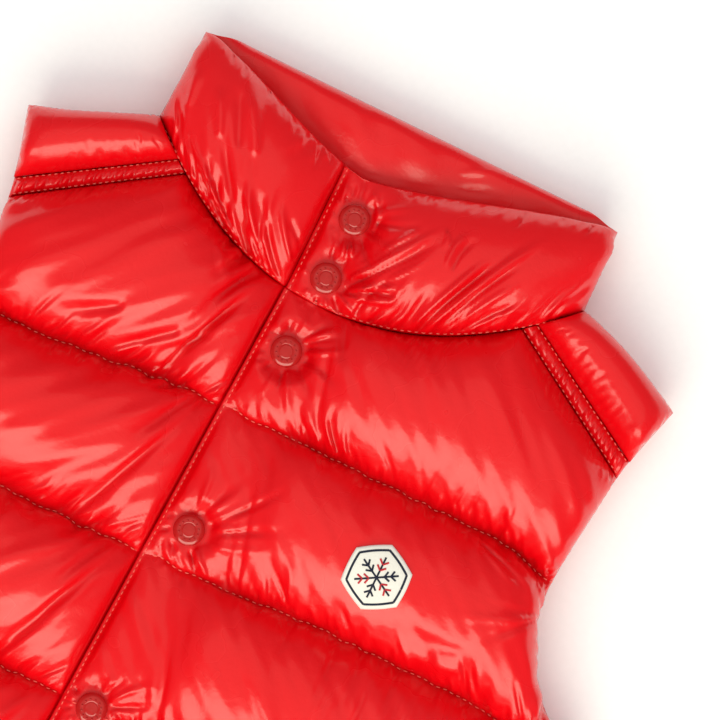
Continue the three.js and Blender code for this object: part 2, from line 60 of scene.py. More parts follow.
# The cut, in millimetres from the second snap, as the solids have it.
BAFFLE = 72.0
BAFFLES = 6
FIRST_SEAM = -69.5
HEM = FIRST_SEAM - BAFFLE * (BAFFLES - 1)
UNDERARM = -142.0
HALF_CHEST = 190.0
HALF_HEM = 193.0
SCALLOP = 3.0
COLLAR_TOP = 77.0
COLLAR_CORNER = 74.0
COLLAR_DIP = 46.3
COLLAR_HALF = 100.0
NECK_HALF = 102.0
NECK_LOW = -12.0
NECK_HIGH = 34.7
NAPE = 24.0
EDGE_X = -19.5
EDGE_LEAN = 0.045
UNDERLAP = 22.0
PLACKET = 31.0
SEAM_HALF = 0.22
SNAP_IN = 14.0
SNAP_RADIUS = 7.0
SNAP_SEAT = 25.0
SNAP_YS = (28.2, 0.0, -36.1) + tuple(-124.4 - 88.3 * n for n in range(4))
BADGE_X, BADGE_Y, BADGE_RADIUS = 70.7, -106.4, 15.5
ARMHOLE_Y = np.array([UNDERARM, -132, -119.4, -104.2, -96.4, -82, FIRST_SEAM, -43, -17, 13.8])
ARMHOLE_X = np.array([HALF_CHEST, 169, 156, 147.5, 143.7, 141.2, 141.6, 144, 147.8, 156.3])

# Heights above the surface.
MIDDLE = 17.0
FRONT_INSIDE = MIDDLE + 0.15
BACK_INSIDE = MIDDLE - 0.15
OVERLAP_INSIDE = 20.3
UNDERLAP_TOP = 19.6
SEAM_TOP = 21.5

# The datum's y in the frame: the hem is the lowest y of the back.
DATUM_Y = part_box("back_panel")[0][1] / MM - HEM


def metres(points):
    """Points in the garment's millimetres as points in the frame's metres."""
    return (points + np.array([0.0, DATUM_Y, 0.0])) * MM


def lerp(a, b, t):
    """The value a share t of the way from a to b."""
    return a + (b - a) * t


def smooth(low, high, t):
    """0 below low and 1 above high, with a smooth step between them."""
    s = np.clip((t - low) / (high - low), 0, 1)
    return s * s * (3 - 2 * s)


def rounded(inwards, width):
    """0 at a pad's edge and 1 from width inwards, rising as a quarter round."""
    return np.sqrt(1 - (1 - np.clip(inwards / width, 0, 1)) ** 2)


def crown(share):
    """How full a baffle is at a share of its height: 0 on its seams and 1 between them."""
    return (1 - np.abs(2 * np.clip(share, 0, 1) - 1) ** 2.3) ** 0.72


def through(t, ts, values):
    """A smooth curve through the table of values over ts: a cubic with mean slopes in each span."""
    slopes = np.gradient(values, ts)
    k = np.clip(np.searchsorted(ts, t) - 1, 0, len(ts) - 2)
    width = ts[k + 1] - ts[k]
    s = np.clip((t - ts[k]) / width, 0, 1)
    return (
        (1 + 2 * s) * (1 - s) ** 2 * values[k]
        + s * (1 - s) ** 2 * width * slopes[k]
        + s * s * (3 - 2 * s) * values[k + 1]
        + s * s * (s - 1) * width * slopes[k + 1]
    )


def armhole_x(y):
    """The x of the armhole's edge at a height."""
    return through(np.asarray(y, float), ARMHOLE_Y, ARMHOLE_X)


def half_width(y):
    """Half the body's width at a height: the side seam, a little scalloped, then the armhole."""
    y = np.asarray(y, float)
    down = np.clip((UNDERARM - y) / (UNDERARM - HEM), 0, 1)
    share = ((y - HEM) / BAFFLE) % 1
    side = lerp(HALF_CHEST, HALF_HEM, down) + SCALLOP * crown(share) * smooth(0, 0.1, down)
    return np.where(y > UNDERARM, armhole_x(y), side)


def tilt(x):
    """How far the seams rise at an x, since the vest lies a little turned: a straight line."""
    return 0.022 * x


def neck_front(x):
    """The y of the neck seam in front: a bow that rises with the power 2.1 of x, tilted."""
    return NECK_LOW + (NECK_HIGH - NECK_LOW) * (np.abs(x) / NECK_HALF) ** 2.1 + tilt(x)


def neck_back(x):
    """The y of the neck seam behind: a parabola from the nape up, tilted."""
    return NAPE + (NECK_HIGH - NAPE) * (np.abs(x) / NECK_HALF) ** 2 + tilt(x)


def band_inner(x):
    """The y of the seam between a front and its shoulder strip: a straight slope, tilted."""
    return 14.8 - 0.63 * (np.abs(x) - 82.5) + tilt(x)


def band_outer(x):
    """The y of the seam between a strip and its yoke: a straight slope, tilted."""
    return 20 - 0.61 * (np.abs(x) - 87) + tilt(x)


def yoke_back_seam(x):
    """The y of the seam between a yoke and the back: a straight slope, tilted."""
    return 30 - 0.7 * (np.abs(x) - 80) + tilt(x)


def front_top(x):
    """The y of a front's top edge: the lower of its neck seam and its strip's seam."""
    return np.minimum(neck_front(x), band_inner(x)) - SEAM_HALF


def back_top(x):
    """The y of the back's top edge: the lower of its neck seam and its yoke's seam."""
    return np.minimum(neck_back(x), yoke_back_seam(x)) - SEAM_HALF


def front_edge(y):
    """The x of the overlap's edge, which leans a little below the collar."""
    return EDGE_X + EDGE_LEAN * np.minimum(0, y)


def placket_line(y):
    """The x at which the overlap's own layer ends."""
    return front_edge(y) + PLACKET


def underlap_edge(y):
    """The x of the right front's edge, under the overlap."""
    return front_edge(y) + UNDERLAP


def fold_line(y):
    """The x at which the right front comes out from under the overlap."""
    return front_edge(y) - 0.15


def rise_line(y):
    """The x up to which the right front rises steeply beside the overlap."""
    return front_edge(y) - 7


def right_side(y):
    """The x of the right front's side edge: half the body's width, to the right."""
    return -half_width(y)


def snap_x(y):
    """The x of a snap's axis, a set way in from the overlap's edge."""
    return front_edge(y) + SNAP_IN


def tip_y(sign):
    """The y of a shoulder's tip, which is higher on the left."""
    return ARMHOLE_Y[-1] - 1.2 + 1.2 * sign


def corner(sign, one, other):
    """The x at which seam one rises past the other, out from the middle, by halving."""
    low, high = 60.0, 101.0
    for _ in range(40):
        middle = (low + high) / 2
        if one(sign * middle) < other(sign * middle):
            low = middle
        else:
            high = middle
    return sign * low


def meeting(edge_x, seam_y):
    """The y at which a seam over x meets an edge over y, by going to and fro between them."""
    y = -10.0
    for _ in range(40):
        y = float(seam_y(edge_x(y)))
    return y


def stray(seam, x):
    """How far a seam between two baffles strays from level, by its number from the hem."""
    out = np.abs(x)
    droop = np.where(x < 0, -7 * smooth(20, 125, out), -7 * smooth(110, 146, out))
    rise = np.where(x < 0, -2, 3.2) * smooth(10, 60, out) * (1 - smooth(125, 160, out))
    wander = 0.32 * ripple(x, 9.0 * seam, 14, 60, 90) * (seam > 0)
    return wander + np.where(seam == BAFFLES - 1, droop, np.where(seam == BAFFLES - 2, rise, 0.0))


def spread(count, ends=0.0):
    """Shares from 0 to 1 in count steps, closer together at both ends: t less a sine wave."""
    t = np.linspace(0, 1, count + 1)
    return t - ends * np.sin(2 * np.pi * t) / (2 * np.pi)


def baffle_rows(per_baffle, ends):
    """(baffle, share) of each row of a stack of baffles, with the rows closer together beside the seams."""
    shares = spread(per_baffle, ends)[:-1]
    baffle = np.append(np.repeat(np.arange(BAFFLES), per_baffle), BAFFLES - 1)
    return baffle[:, None], np.append(np.tile(shares, BAFFLES), 1.0)[:, None]


def strip_plan(one, other, top_seam, across, baffle, share):
    """x and y of one strip of a body panel, at shares across it and at its rows. Below, a row runs level from
    edge to edge but for its stray. In the top baffle a column runs from its place on the first seam to its
    place on the top seam and bows with the strip's edges on the way."""
    level = HEM + BAFFLE * (baffle + share)

    def strayed(x):
        return level + lerp(stray(baffle, x), stray(baffle + 1, x), share)

    x_low = lerp(one(strayed(one(level))), other(strayed(other(level))), across)
    y_low = strayed(x_low)
    start = lerp(one(FIRST_SEAM), other(FIRST_SEAM), across)
    start_y = FIRST_SEAM + stray(BAFFLES - 1, start)
    one_y, other_y = meeting(one, top_seam), meeting(other, top_seam)
    end = lerp(one(one_y), other(other_y), across)

    def bow(edge, end_y):
        side_start = FIRST_SEAM + stray(BAFFLES - 1, edge(FIRST_SEAM))
        return edge(lerp(side_start, end_y, share)) - lerp(edge(FIRST_SEAM), edge(end_y), share)

    bows = (bow(one, one_y) * (1 - across) ** 5 + bow(other, other_y) * across ** 5) * (share < 1)
    x_top = lerp(start, end, share) + bows
    y_top = lerp(start_y, top_seam(end), share)
    top = baffle == BAFFLES - 1
    return np.where(top, x_top, x_low), np.where(top, y_top, y_low)


def panel_plan(edges, counts, top_seam, baffle, share):
    """x and y of a body panel's grid. edges holds the x over y of each strip's sides and counts its
    columns."""
    xs, ys = [], []
    for n, count in enumerate(counts):
        across = spread(count, 0.25 if n == len(counts) - 1 else 0.0)[None, :]
        x, y = strip_plan(edges[n], edges[n + 1], top_seam, across, baffle, share)
        last = n == len(counts) - 1
        xs.append(x if last else x[:, :-1])
        ys.append(y if last else y[:, :-1])
    return np.concatenate(xs, 1), np.concatenate(ys, 1)


# Cloth
def sheet_normals(points):
    """Unit normals of a grid of points: the cross product of its mean differences along and across."""
    normal = np.cross(np.gradient(points, axis=1), np.gradient(points, axis=0))
    return normal / np.maximum(np.linalg.norm(normal, axis=-1, keepdims=True), 1e-9)


def project(a, b, rest, ease_a, ease_b, pull, push):
    """Moves the ends of threads towards their rest length, by how freely each end moves: too long by the
    share pull, and too short by the share push."""
    gap = b - a
    length = np.sqrt(np.einsum("...k,...k", gap, gap)) + 1e-6
    error = (length - rest) / length
    error *= np.where(error > 0, pull, push) / np.maximum(ease_a + ease_b, 1e-6)
    move = gap * error[..., None]
    a += move * ease_a[..., None]
    b -= move * ease_b[..., None]


def span(count, step, first, stride):
    """The slices of the starts and ends of steps along an axis, from first on and stride apart."""
    if step < 0:
        return slice(-step, count), slice(0, count + step)
    return slice(first, count - step, stride), slice(first + step, count, stride)


# The kinds of thread, by how many groups each is split into: (kind, rows down, columns along).
THREADS = (
    (2, (("thread", 0, 1), ("thread", 1, 0), ("shear", 1, 1), ("shear", 1, -1))),
    (4, (("bend", 0, 2), ("bend", 2, 0))),
)


def threads(rows, columns):
    """The slices of a sheet's threads, in groups that share no point: (start, end, kind)."""
    groups = []
    for stride, kinds in THREADS:
        for first in range(stride):
            for kind, down, along in kinds:
                row, row_end = span(rows, down, first if down else 0, stride if down else 1)
                column, column_end = span(columns, along, 0 if down else first, 1 if down else stride)
                groups.append(((row, column), (row_end, column_end), kind))
    return groups


STIFFNESS = {"thread": (1.0, 0.9), "shear": (0.5, 0.35), "bend": (0.0, 0.35)}


def settle(start, cloth, ease, floor, pressure, steps, rounds=6, stiffness=STIFFNESS):
    """Blows up a sheet of cloth over its filling. start is the sheet's shape, cloth the flat shape that
    it was cut to, ease 0 where it is sewn down and 1 where it is free, and floor the height that it stays
    above. Each step moves every point on by its last move and by the pressure, and then pulls the
    threads, the shear and the bend back to the lengths that they were cut to, a few rounds over."""
    points = start.astype(np.float32).copy()
    ease = ease.astype(np.float32)
    groups = []
    for begin, end, kind in threads(*points.shape[:2]):
        rest = np.linalg.norm(cloth[end] - cloth[begin], axis=-1).astype(np.float32)
        if kind == "bend":
            rest = rest * 0.94
        groups.append((begin, end, rest, *stiffness[kind]))
    velocity = np.zeros_like(points)
    for step in range(steps):
        drive = pressure * min(1.0, (step + 1) / (0.3 * steps))
        velocity = velocity * 0.88 + sheet_normals(points) * drive
        moved = points + velocity * ease[..., None]
        for _ in range(rounds):
            for begin, end, rest, pull, push in groups:
                project(moved[begin], moved[end], rest, ease[begin], ease[end], pull, push)
        moved[..., 2] = np.maximum(moved[..., 2], floor)
        velocity = moved - points
        points = moved
    return points.astype(float)


def refine(points, times=1):
    """A grid with a point put in between each two, both ways, on the cubic through the nearest four."""
    for _ in range(times):
        for axis in (0, 1):
            p = np.moveaxis(points, axis, 0)
            padded = np.concatenate([2 * p[:1] - p[1:2], p, 2 * p[-1:] - p[-2:-1]])
            between = (9 * (padded[1:-2] + padded[2:-1]) - padded[:-3] - padded[3:]) / 16
            finer = np.empty((2 * len(p) - 1,) + p.shape[1:])
            finer[0::2] = p
            finer[1::2] = between
            points = np.moveaxis(finer, 0, axis)
    return points


def ripple(u, v, length, stretch, seed, count=24):
    """A field of small uneven waves that run along v: a sum of cosines of u, with wavelengths about length,
    that wander as v changes over stretch."""
    random = np.random.default_rng(seed)
    total = np.zeros(np.broadcast(u, v).shape)
    for _ in range(count):
        wave = 2 * np.pi / (length * random.uniform(0.6, 1.9))
        drift = 2 * np.pi / stretch * random.normal(0, 0.5)
        total += np.cos(wave * u + drift * v + random.uniform(0, 2 * np.pi))
    return total / math.sqrt(count / 2)


def raise_creases(sheet, table, free, hold=0.35):
    """A sheet with a table's creases raised on it. A crease goes from x0, y0, its sharp end, to x1, y1,
    its soft end, on a line that bows to its left like a parabola. Across, it is a bell curve less its own
    second slope, so the cloth dips on both sides of a ridge, and it widens on the way. Along, it rises at
    once and fades out. It sinks in where its height is negative. free is 0 where the cloth is sewn
    down."""
    x, y = sheet[..., 0], sheet[..., 1]
    rise = np.zeros(x.shape)
    for x0, y0, x1, y1, bow, width, height in table:
        length = math.hypot(x1 - x0, y1 - y0)
        ahead, aside = (x1 - x0) / length, (y1 - y0) / length
        reach = length / 2 + 4 * width + abs(bow)
        near = (np.abs(x - (x0 + x1) / 2) < reach) & (np.abs(y - (y0 + y1) / 2) < reach)
        east, north = x[near] - x0, y[near] - y0
        along = (east * ahead + north * aside) / length
        across = north * ahead - east * aside - 4 * bow * along * (1 - along)
        fade = smooth(-0.04, 0.1, along) * (1 - smooth(hold, 1, along))
        off = (across / (width * (0.6 + 0.8 * np.clip(along, 0, 1)))) ** 2
        rise[near] += height * fade * (1 - 0.8 * off) * np.exp(-off)
    creased = sheet.copy()
    creased[..., 2] += rise * free
    return creased


def slacken(sheet, lean, free, seed):
    """A sheet with the broad shallow waves of slack cloth: a ripple 18 mm long that leans, scaled by
    where the cloth is free."""
    loose = sheet.copy()
    loose[..., 2] += 0.3 * free * ripple(sheet[..., 0] + lean * sheet[..., 1], sheet[..., 1], 18, 45, seed)
    return loose


def seam_puckers(seam_y, start, end, lean, size, seed):
    """Rows of creases that stand on a seam between two places on it: ridges and troughs by turns, uneven in
    spacing, length and depth. Each leans by so much for each millimetre of its length. size scales how long
    and high they are, and where it is negative they hang below the seam."""
    random = np.random.default_rng(seed)
    places = start + np.sign(end - start) * np.cumsum(random.uniform(1.9, 5.2, 120))
    places = places[np.abs(places - start) < abs(end - start)]
    count = len(places)
    long = size * random.uniform(6, 13, count) * random.choice([0.7, 1.1, 2.1], count, p=[0.35, 0.4, 0.25])
    leans = lean * random.uniform(0.4, 1.5, count)
    feet = seam_y(places) + 0.6 * np.sign(size)
    height = np.where(np.arange(count) % 2, 0.8, -1.0) * random.uniform(0.5, 1.5, count) * abs(size) ** 0.5
    width = random.uniform(0.9, 1.5, count) * (0.8 + 0.03 * np.abs(long))
    bow = random.normal(0, 0.05, count) * long
    return np.stack([places, feet, places + leans * long, feet + long, bow, width, height], -1)


def snap_creases(snap_y, seed):
    """The creases that the cloth makes round a snap: they start beside the cap and run outwards, ridges and
    troughs by turns, uneven in direction, length and depth. Towards the overlap's edge they are short."""
    random = np.random.default_rng(seed)
    turn = np.cumsum(random.uniform(0.22, 0.55, 40))
    turn = turn[turn < 2 * np.pi]
    count = len(turn)
    ahead, aside = np.cos(turn), np.sin(turn)
    long = random.uniform(8, 26, count) * np.where(ahead < -0.3, 0.35, 1.0)
    near = SNAP_RADIUS + 0.2
    x, y = snap_x(snap_y), snap_y
    height = np.where(np.arange(count) % 2, 0.8, -1.0) * random.uniform(0.8, 2.0, count)
    width = random.uniform(1.0, 1.7, count) * (0.8 + 0.03 * long)
    bow = random.normal(0, 0.06, count) * long
    return np.stack([
        x + near * ahead, y + near * aside, x + (near + long) * ahead, y + (near + long) * aside,
        bow, width, height,
    ], -1)


def front_puckers(side):
    """The puckers along every seam of a front, from the overlap out: long ones above each seam, which
    lean back to the neck, and short ones below it."""
    rows = []
    for seam in range(BAFFLES + 1):
        def seam_y(x):
            return front_top(x) if seam == BAFFLES else HEM + BAFFLE * seam + stray(seam, x)

        start = front_edge(float(seam_y(EDGE_X))) + (5 if side > 0 else -3)
        end = side * (150 if seam >= BAFFLES - 1 else HALF_CHEST)
        if seam < BAFFLES:
            rows.append(seam_puckers(seam_y, start, end, -0.8 * side, 1.0, 50 + 2 * seam + (side > 0)))
        if seam > 0:
            rows.append(seam_puckers(seam_y, start, end, -0.3 * side, -0.45, 70 + 2 * seam + (side > 0)))
    if side > 0:
        rows += [snap_creases(snap_y, 120 + n) for n, snap_y in enumerate(SNAP_YS[2:])]
    return rows


def collar_puckers(side):
    """The long folds that stand on the neck seam of one half of the collar, and short ones under its top
    edge."""
    start, end = (8, 92) if side > 0 else (-24, -92)
    rows = [
        seam_puckers(neck_front, start, end, 0.45 * side, 2.0, 140 + side),
        seam_puckers(collar_front_top, start, end, 0.2 * side, -0.6, 150 + side),
    ]
    if side > 0:
        rows += [snap_creases(snap_y, 130 + n) for n, snap_y in enumerate(SNAP_YS[:2])]
    return rows


# Creases, listed one by one. Columns: x0, y0, x1, y1, bow, width, height.
LEFT_FRONT_CREASES = (
    (-3.4, -30.2, 12.9, -15.9, 1.0, 1.5, 1.7),
    (-2.2, -32.0, 14.9, -19.0, 1.0, 1.5, -1.5),
    (-0.7, -33.7, 18.9, -22.2, -0.8, 1.6, 1.7),
    (0.9, -36.8, 26.9, -42.5, 2.0, 5.0, -1.3),
    (-18.0, -47.5, -11.7, -43.9, 0.0, 1.0, 0.6),
    (-18.5, -45.5, -12.5, -42.0, 0.0, 0.9, -0.5),
    (20.0, -66.5, 9.0, -55.0, 1.0, 1.3, -1.1),
    (24.0, -66.0, 12.0, -52.0, 1.0, 1.4, 1.0),
    (29.8, -65.3, 17.1, -46.3, 1.5, 1.6, 1.4),
    (32.0, -65.8, 21.0, -46.0, 1.5, 1.7, -1.5),
    (36.6, -65.4, 28.1, -50.1, 1.0, 1.5, 1.3),
    (-5.8, -119.4, 21.0, -87.0, -1.5, 1.7, -2.1),
    (-9.5, -117.0, 6.0, -92.0, -1.0, 2.4, 1.0),
    (0.0, -121.4, 30.5, -104.6, 0.5, 2.1, -2.1),
    (-1.0, -127.0, 34.0, -113.0, -1.0, 3.0, 1.0),
    (-7.3, -133.2, 4.3, -140.1, 0.0, 1.2, -1.2),
    (-12.9, -133.5, -9.5, -140.5, 0.0, 1.0, -0.8),
    (-14.3, -116.8, -21.0, -110.5, 0.0, 0.9, 0.8),
    (-11.0, -115.5, -16.0, -106.0, 0.0, 1.2, -0.8),
    (97.4, -71.5, 134.1, -86.9, 0.0, 1.1, 0.9),
    (98.7, -71.8, 138.1, -85.0, 2.2, 1.1, 0.9),
    (105.0, -74.5, 134.0, -84.5, 1.2, 1.4, -0.7),
    (120.9, -73.6, 137.5, -80.9, 1.0, 1.0, 0.7),
    (132.3, -74.3, 137.5, -80.0, 0.0, 1.1, 0.8),
    (141.5, -93.0, 119.7, -113.8, 0.0, 2.0, -1.2),
    (141.5, -92.5, 102.2, -107.8, 1.0, 2.0, 1.0),
    (141.0, -91.0, 116.0, -96.3, 0.0, 1.6, -1.0),
    (118.0, -120.0, 80.0, -122.0, 1.0, 5.0, -1.2),
    (121.5, -127.4, 76.7, -134.7, 1.0, 5.0, 1.2),
)
RIGHT_FRONT_CREASES = (
    (-78.4, -48.9, -112.0, -66.0, 1.0, 3.6, -2.2),
    (-91.5, -70.7, -76.8, -49.1, -1.0, 2.0, 1.4),
    (-52.1, -48.1, -80.0, -69.0, 1.0, 3.0, -2.0),
    (-76.3, -70.1, -46.3, -42.4, -1.0, 2.0, 1.3),
    (-38.9, -43.6, -64.6, -68.2, 0.0, 2.0, -1.3),
    (-48.0, -69.0, -43.0, -60.0, 0.0, 1.2, -0.9),
    (-45.7, -69.2, -39.6, -59.9, 0.0, 1.3, 1.0),
    (-27.6, -67.6, -25.2, -61.6, 0.0, 1.2, 0.8),
    (-53.7, -7.0, -39.2, -24.0, 0.0, 3.0, 1.2),
)
COLLAR_CREASES = (
    (-47.8, -1.9, -94.1, 37.8, 1.5, 1.6, 2.0),
    (-54.4, 0.7, -97.0, 41.0, 1.5, 1.6, -1.8),
    (-51.3, -0.7, -79.2, 26.2, 1.0, 1.5, 1.7),
    (-40.3, -5.5, -74.6, 39.6, 1.5, 2.2, -2.3),
    (-36.0, -6.3, -55.9, 23.1, 1.0, 2.0, 1.8),
    (-31.7, -7.2, -57.1, 18.6, 1.0, 1.8, -1.8),
    (-27.4, -8.0, -39.7, 6.8, 0.5, 1.4, 1.4),
    (-23.2, -8.7, -48.5, 22.8, 1.0, 2.0, -2.0),
    (-21.8, -0.6, -37.5, 20.9, 0.5, 1.6, 1.6),
    (-21.5, 7.9, -31.5, 16.6, 0.0, 1.5, -1.6),
    (-63.7, 5.8, -79.3, 17.5, 0.5, 1.4, 1.4),
    (-66.5, 7.4, -84.0, 24.0, 0.5, 1.4, -1.3),
    (-55.8, 33.8, -70.3, 62.0, 0.0, 4.0, 1.8),
    (-64.0, 34.0, -76.0, 60.0, 0.0, 3.0, -1.3),
    (-73.1, 34.5, -83.2, 55.2, 0.0, 3.0, 1.6),
    (-91.7, 40.9, -95.0, 58.3, 0.0, 3.0, 1.3),
    (2.5, 2.5, 31.7, 42.6, 0.0, 1.3, 1.8),
    (3.5, -0.7, 33.3, 37.5, -0.5, 1.6, -2.3),
    (5.0, -2.5, 34.6, 31.4, -1.5, 1.4, 1.6),
    (32.0, 41.5, 34.5, 33.5, 1.5, 1.2, 1.2),
    (11.5, 21.6, 23.0, 37.8, 0.0, 1.5, 1.7),
    (7.2, 1.3, 27.6, 10.6, 0.0, 1.4, 1.3),
    (6.0, -1.0, 27.0, 7.6, 0.0, 1.5, -1.7),
    (4.1, -3.8, 27.5, 4.7, -1.0, 1.5, 1.7),
    (37.3, -4.7, 55.7, 39.3, 1.5, 1.6, 2.1),
    (40.5, -3.2, 59.4, 39.6, 1.5, 1.8, -2.3),
    (43.6, -1.8, 74.5, 59.1, 2.0, 1.8, 2.0),
    (47.5, 0.2, 69.1, 44.4, 1.5, 1.6, -2.0),
    (52.4, 2.2, 71.8, 36.0, 1.0, 1.6, 1.8),
    (56.3, 4.1, 75.2, 27.0, 1.0, 1.4, -1.6),
    (60.6, 6.2, 76.7, 27.8, 0.5, 1.4, 1.4),
    (38.6, 27.6, 42.1, 45.2, 1.5, 1.4, 1.6),
    (42.0, 27.0, 46.0, 44.0, 1.5, 1.5, -1.4),
    (3.5, 29.0, -3.0, 43.0, -1.5, 1.4, 1.6),
    (3.4, 27.3, 4.9, 37.2, 1.0, 1.4, 1.3),
    (-13.5, 32.0, -16.0, 42.0, 0.0, 1.2, 1.2),
    (-10.5, 34.5, -12.0, 43.0, 0.0, 1.2, -1.0),
    (-6.0, 19.5, -2.8, 8.4, 0.5, 1.1, 1.2),
    (-4.6, 19.5, -0.4, 9.1, 0.5, 1.0, -1.0),
    (-3.2, 19.5, 1.1, 11.0, 0.5, 1.1, 1.2),
)
COLLAR_BACK_CREASES = (
    (28.0, 67.0, 42.0, 74.0, 1.0, 2.0, 1.3),
    (30.0, 60.0, 48.0, 70.0, -1.0, 3.0, -1.2),
    (-6.6, 50.0, -11.0, 58.0, 0.0, 1.8, 1.5),
)


# Meshes
def mesh_object(name, points, faces, material, seams=()):
    """An object with this mesh, in metres, its faces turned outwards. The edges between the points of seams
    are sharp."""
    mesh = bpy.data.meshes.new(name)
    mesh.from_pydata(points, [], faces)
    work = bmesh.new()
    work.from_mesh(mesh)
    bmesh.ops.recalc_face_normals(work, faces=work.faces)
    work.to_mesh(mesh)
    work.free()
    mesh.polygons.foreach_set("use_smooth", np.ones(len(mesh.polygons), bool))
    if len(seams):
        ends = np.empty(2 * len(mesh.edges), int)
        mesh.edges.foreach_get("vertices", ends)
        sharp = np.isin(ends, seams).reshape(-1, 2).all(1)
        mesh.attributes.new("sharp_edge", "BOOLEAN", "EDGE").data.foreach_set("value", sharp)
    mesh.materials.append(material)
    mesh.update()
    made = bpy.data.objects.new(name, mesh)
    bpy.context.scene.collection.objects.link(made)
    return made


def grid_faces(index):
    """The quads between the rows and columns of a grid of point numbers."""
    return np.stack([index[:-1, :-1], index[:-1, 1:], index[1:, 1:], index[1:, :-1]], -1).reshape(-1, 4)


def rim_loop(index):
    """The point numbers once round a grid's edge."""
    return np.concatenate([index[0, :-1], index[:-1, -1], index[-1, :0:-1], index[:0:-1, 0]])


def rim_faces(one, other):
    """The quads between two loops of point numbers."""
    return np.stack([one, np.roll(one, -1), np.roll(other, -1), other], -1)


def closed_sheet(outer, inner):
    """Points and faces of a body between two sheets of points over one grid, joined round their rims."""
    index = np.arange(outer.shape[0] * outer.shape[1]).reshape(outer.shape[:2])
    under = index + index.size
    rim = rim_faces(rim_loop(index), rim_loop(under))
    faces = np.concatenate([grid_faces(index), grid_faces(under), rim])
    return metres(np.concatenate([outer.reshape(-1, 3), inner.reshape(-1, 3)])), faces.tolist()


def closed_rings(rings, poles):
    """Points and faces of a solid round an axis: its rings of points from the top to the bottom, and the two
    points that close it. They stay in millimetres."""
    levels, sides = rings.shape[:2]
    index = np.arange(levels * sides).reshape(levels, sides)
    wrapped = np.concatenate([index, index[:, :1]], 1)
    faces = grid_faces(wrapped).tolist()
    for row, pole in ((0, levels * sides), (-1, levels * sides + 1)):
        faces += [[a, b, pole] for a, b in zip(wrapped[row, :-1].tolist(), wrapped[row, 1:].tolist())]
    return np.concatenate([rings.reshape(-1, 3), poles]), faces


def padded_shell(outer, splits, levels):
    """Points and faces of a pad with a modelled outside and a plain inside. The inside is one face for each
    strip between the split columns, and lies at the level of each."""
    rows, columns = outer.shape[:2]
    splits = [s % columns for s in splits]
    index = np.arange(rows * columns).reshape(rows, columns)
    used = np.zeros((rows, columns), bool)
    used[[0, -1], :] = True
    used[:, splits] = True
    under = np.full((rows, columns), -1)
    under[used] = index.size + np.arange(used.sum())
    level = np.interp(np.arange(columns), splits, levels)
    inner = outer.copy()
    inner[..., 2] = level[None, :]
    faces = grid_faces(index).tolist() + rim_faces(rim_loop(index), rim_loop(under)).tolist()
    for a, b in zip(splits[:-1], splits[1:]):
        faces.append(rim_loop(under[:, a:b + 1]).tolist())
    return metres(np.concatenate([outer.reshape(-1, 3), inner[used]])), faces


# Materials
class Socket:
    """A shader socket that does sums."""

    def __init__(self, shader, output):
        self.shader = shader
        self.output = output

    def sum(self, operation, *values):
        return self.shader.node("ShaderNodeMath", {"operation": operation}, *values)

    def __add__(self, other):
        return self.sum("ADD", self, other)

    def __mul__(self, other):
        return self.sum("MULTIPLY", self, other)

    def __sub__(self, other):
        return self.sum("SUBTRACT", self, other)

    def __rsub__(self, other):
        return self.sum("SUBTRACT", other, self)

    __radd__ = __add__
    __rmul__ = __mul__


class Shader:
    """A material and the nodes that are put into it."""

    def __init__(self, name, color, roughness, **settings):
        self.material = bpy.data.materials.new(name)
        self.material.use_nodes = True
        self.tree = self.material.node_tree
        self.surface = self.tree.nodes["Principled BSDF"]
        self.material.diffuse_color = (*color, 1)
        self.feed(self.surface.inputs["Base Color"], (*color, 1))
        self.feed(self.surface.inputs["Roughness"], roughness)
        for key, value in settings.items():
            self.feed(self.surface.inputs[key.replace("_", " ").title().replace("Ior", "IOR")], value)

    def feed(self, socket, value):
        """Links a socket or sets its value."""
        if isinstance(value, Socket):
            self.tree.links.new(value.output, socket)
        else:
            socket.default_value = value

    def node(self, kind, settings, *values, output=0, **named):
        """A new node's output, with its settings made first and then the values or links of its sockets."""
        made = self.tree.nodes.new(kind)
        for key, value in settings.items():
            setattr(made, key, value)
        for socket, value in zip(made.inputs, values):
            self.feed(socket, value)
        for key, value in named.items():
            self.feed(made.inputs[key.replace("_", " ").title()], value)
        return Socket(self, made.outputs[output])

    def place(self):
        return self.node("ShaderNodeTexCoord", {}, output="Object")

    def noise(self, scale, detail=2.0, roughness=0.5, vector=None):
        return self.node(
            "ShaderNodeTexNoise", {}, vector=vector or self.place(), scale=scale, detail=detail,
            roughness=roughness,
        )

    def mix(self, share, one, other):
        """A colour between two."""
        mixed = self.tree.nodes.new("ShaderNodeMix")
        mixed.data_type = "RGBA"
        self.feed(mixed.inputs[0], share)
        self.feed(mixed.inputs[6], one)
        self.feed(mixed.inputs[7], other)
        return Socket(self, mixed.outputs[2])

    def bump(self, height, distance, strength=1.0):
        """Raises the surface by the height, in metres, at most by the distance."""
        made = self.node("ShaderNodeBump", {}, strength=strength, distance=distance, height=height)
        self.feed(self.surface.inputs["Normal"], made)


def shell_cloth(look):
    """Glossy lacquered nylon: a deep red that is a little uneven, a clear film over it, a fine weave and the
    small crinkles of thin coated cloth."""
    red = (*look.shell, 1)
    shader = Shader("shell_cloth", look.shell, look.shell_roughness, coat_weight=look.shell_film,
                    coat_roughness=look.film_roughness, specular_ior_level=0.5)
    patches = shader.noise(22, 3, 0.55)
    deep = (look.shell[0] * 0.94, look.shell[1] * 0.7, look.shell[2] * 0.8, 1)
    shader.feed(shader.surface.inputs["Base Color"], shader.mix(patches, deep, red))
    shader.feed(shader.surface.inputs["Roughness"], patches * 0.1 + (look.shell_roughness - 0.05))
    crinkle = shader.noise(260, 3, 0.6)
    weave = shader.noise(2600, 1, 0.5)
    shader.bump(crinkle * 0.85 + weave * 0.15, 0.00022)
    return shader.material


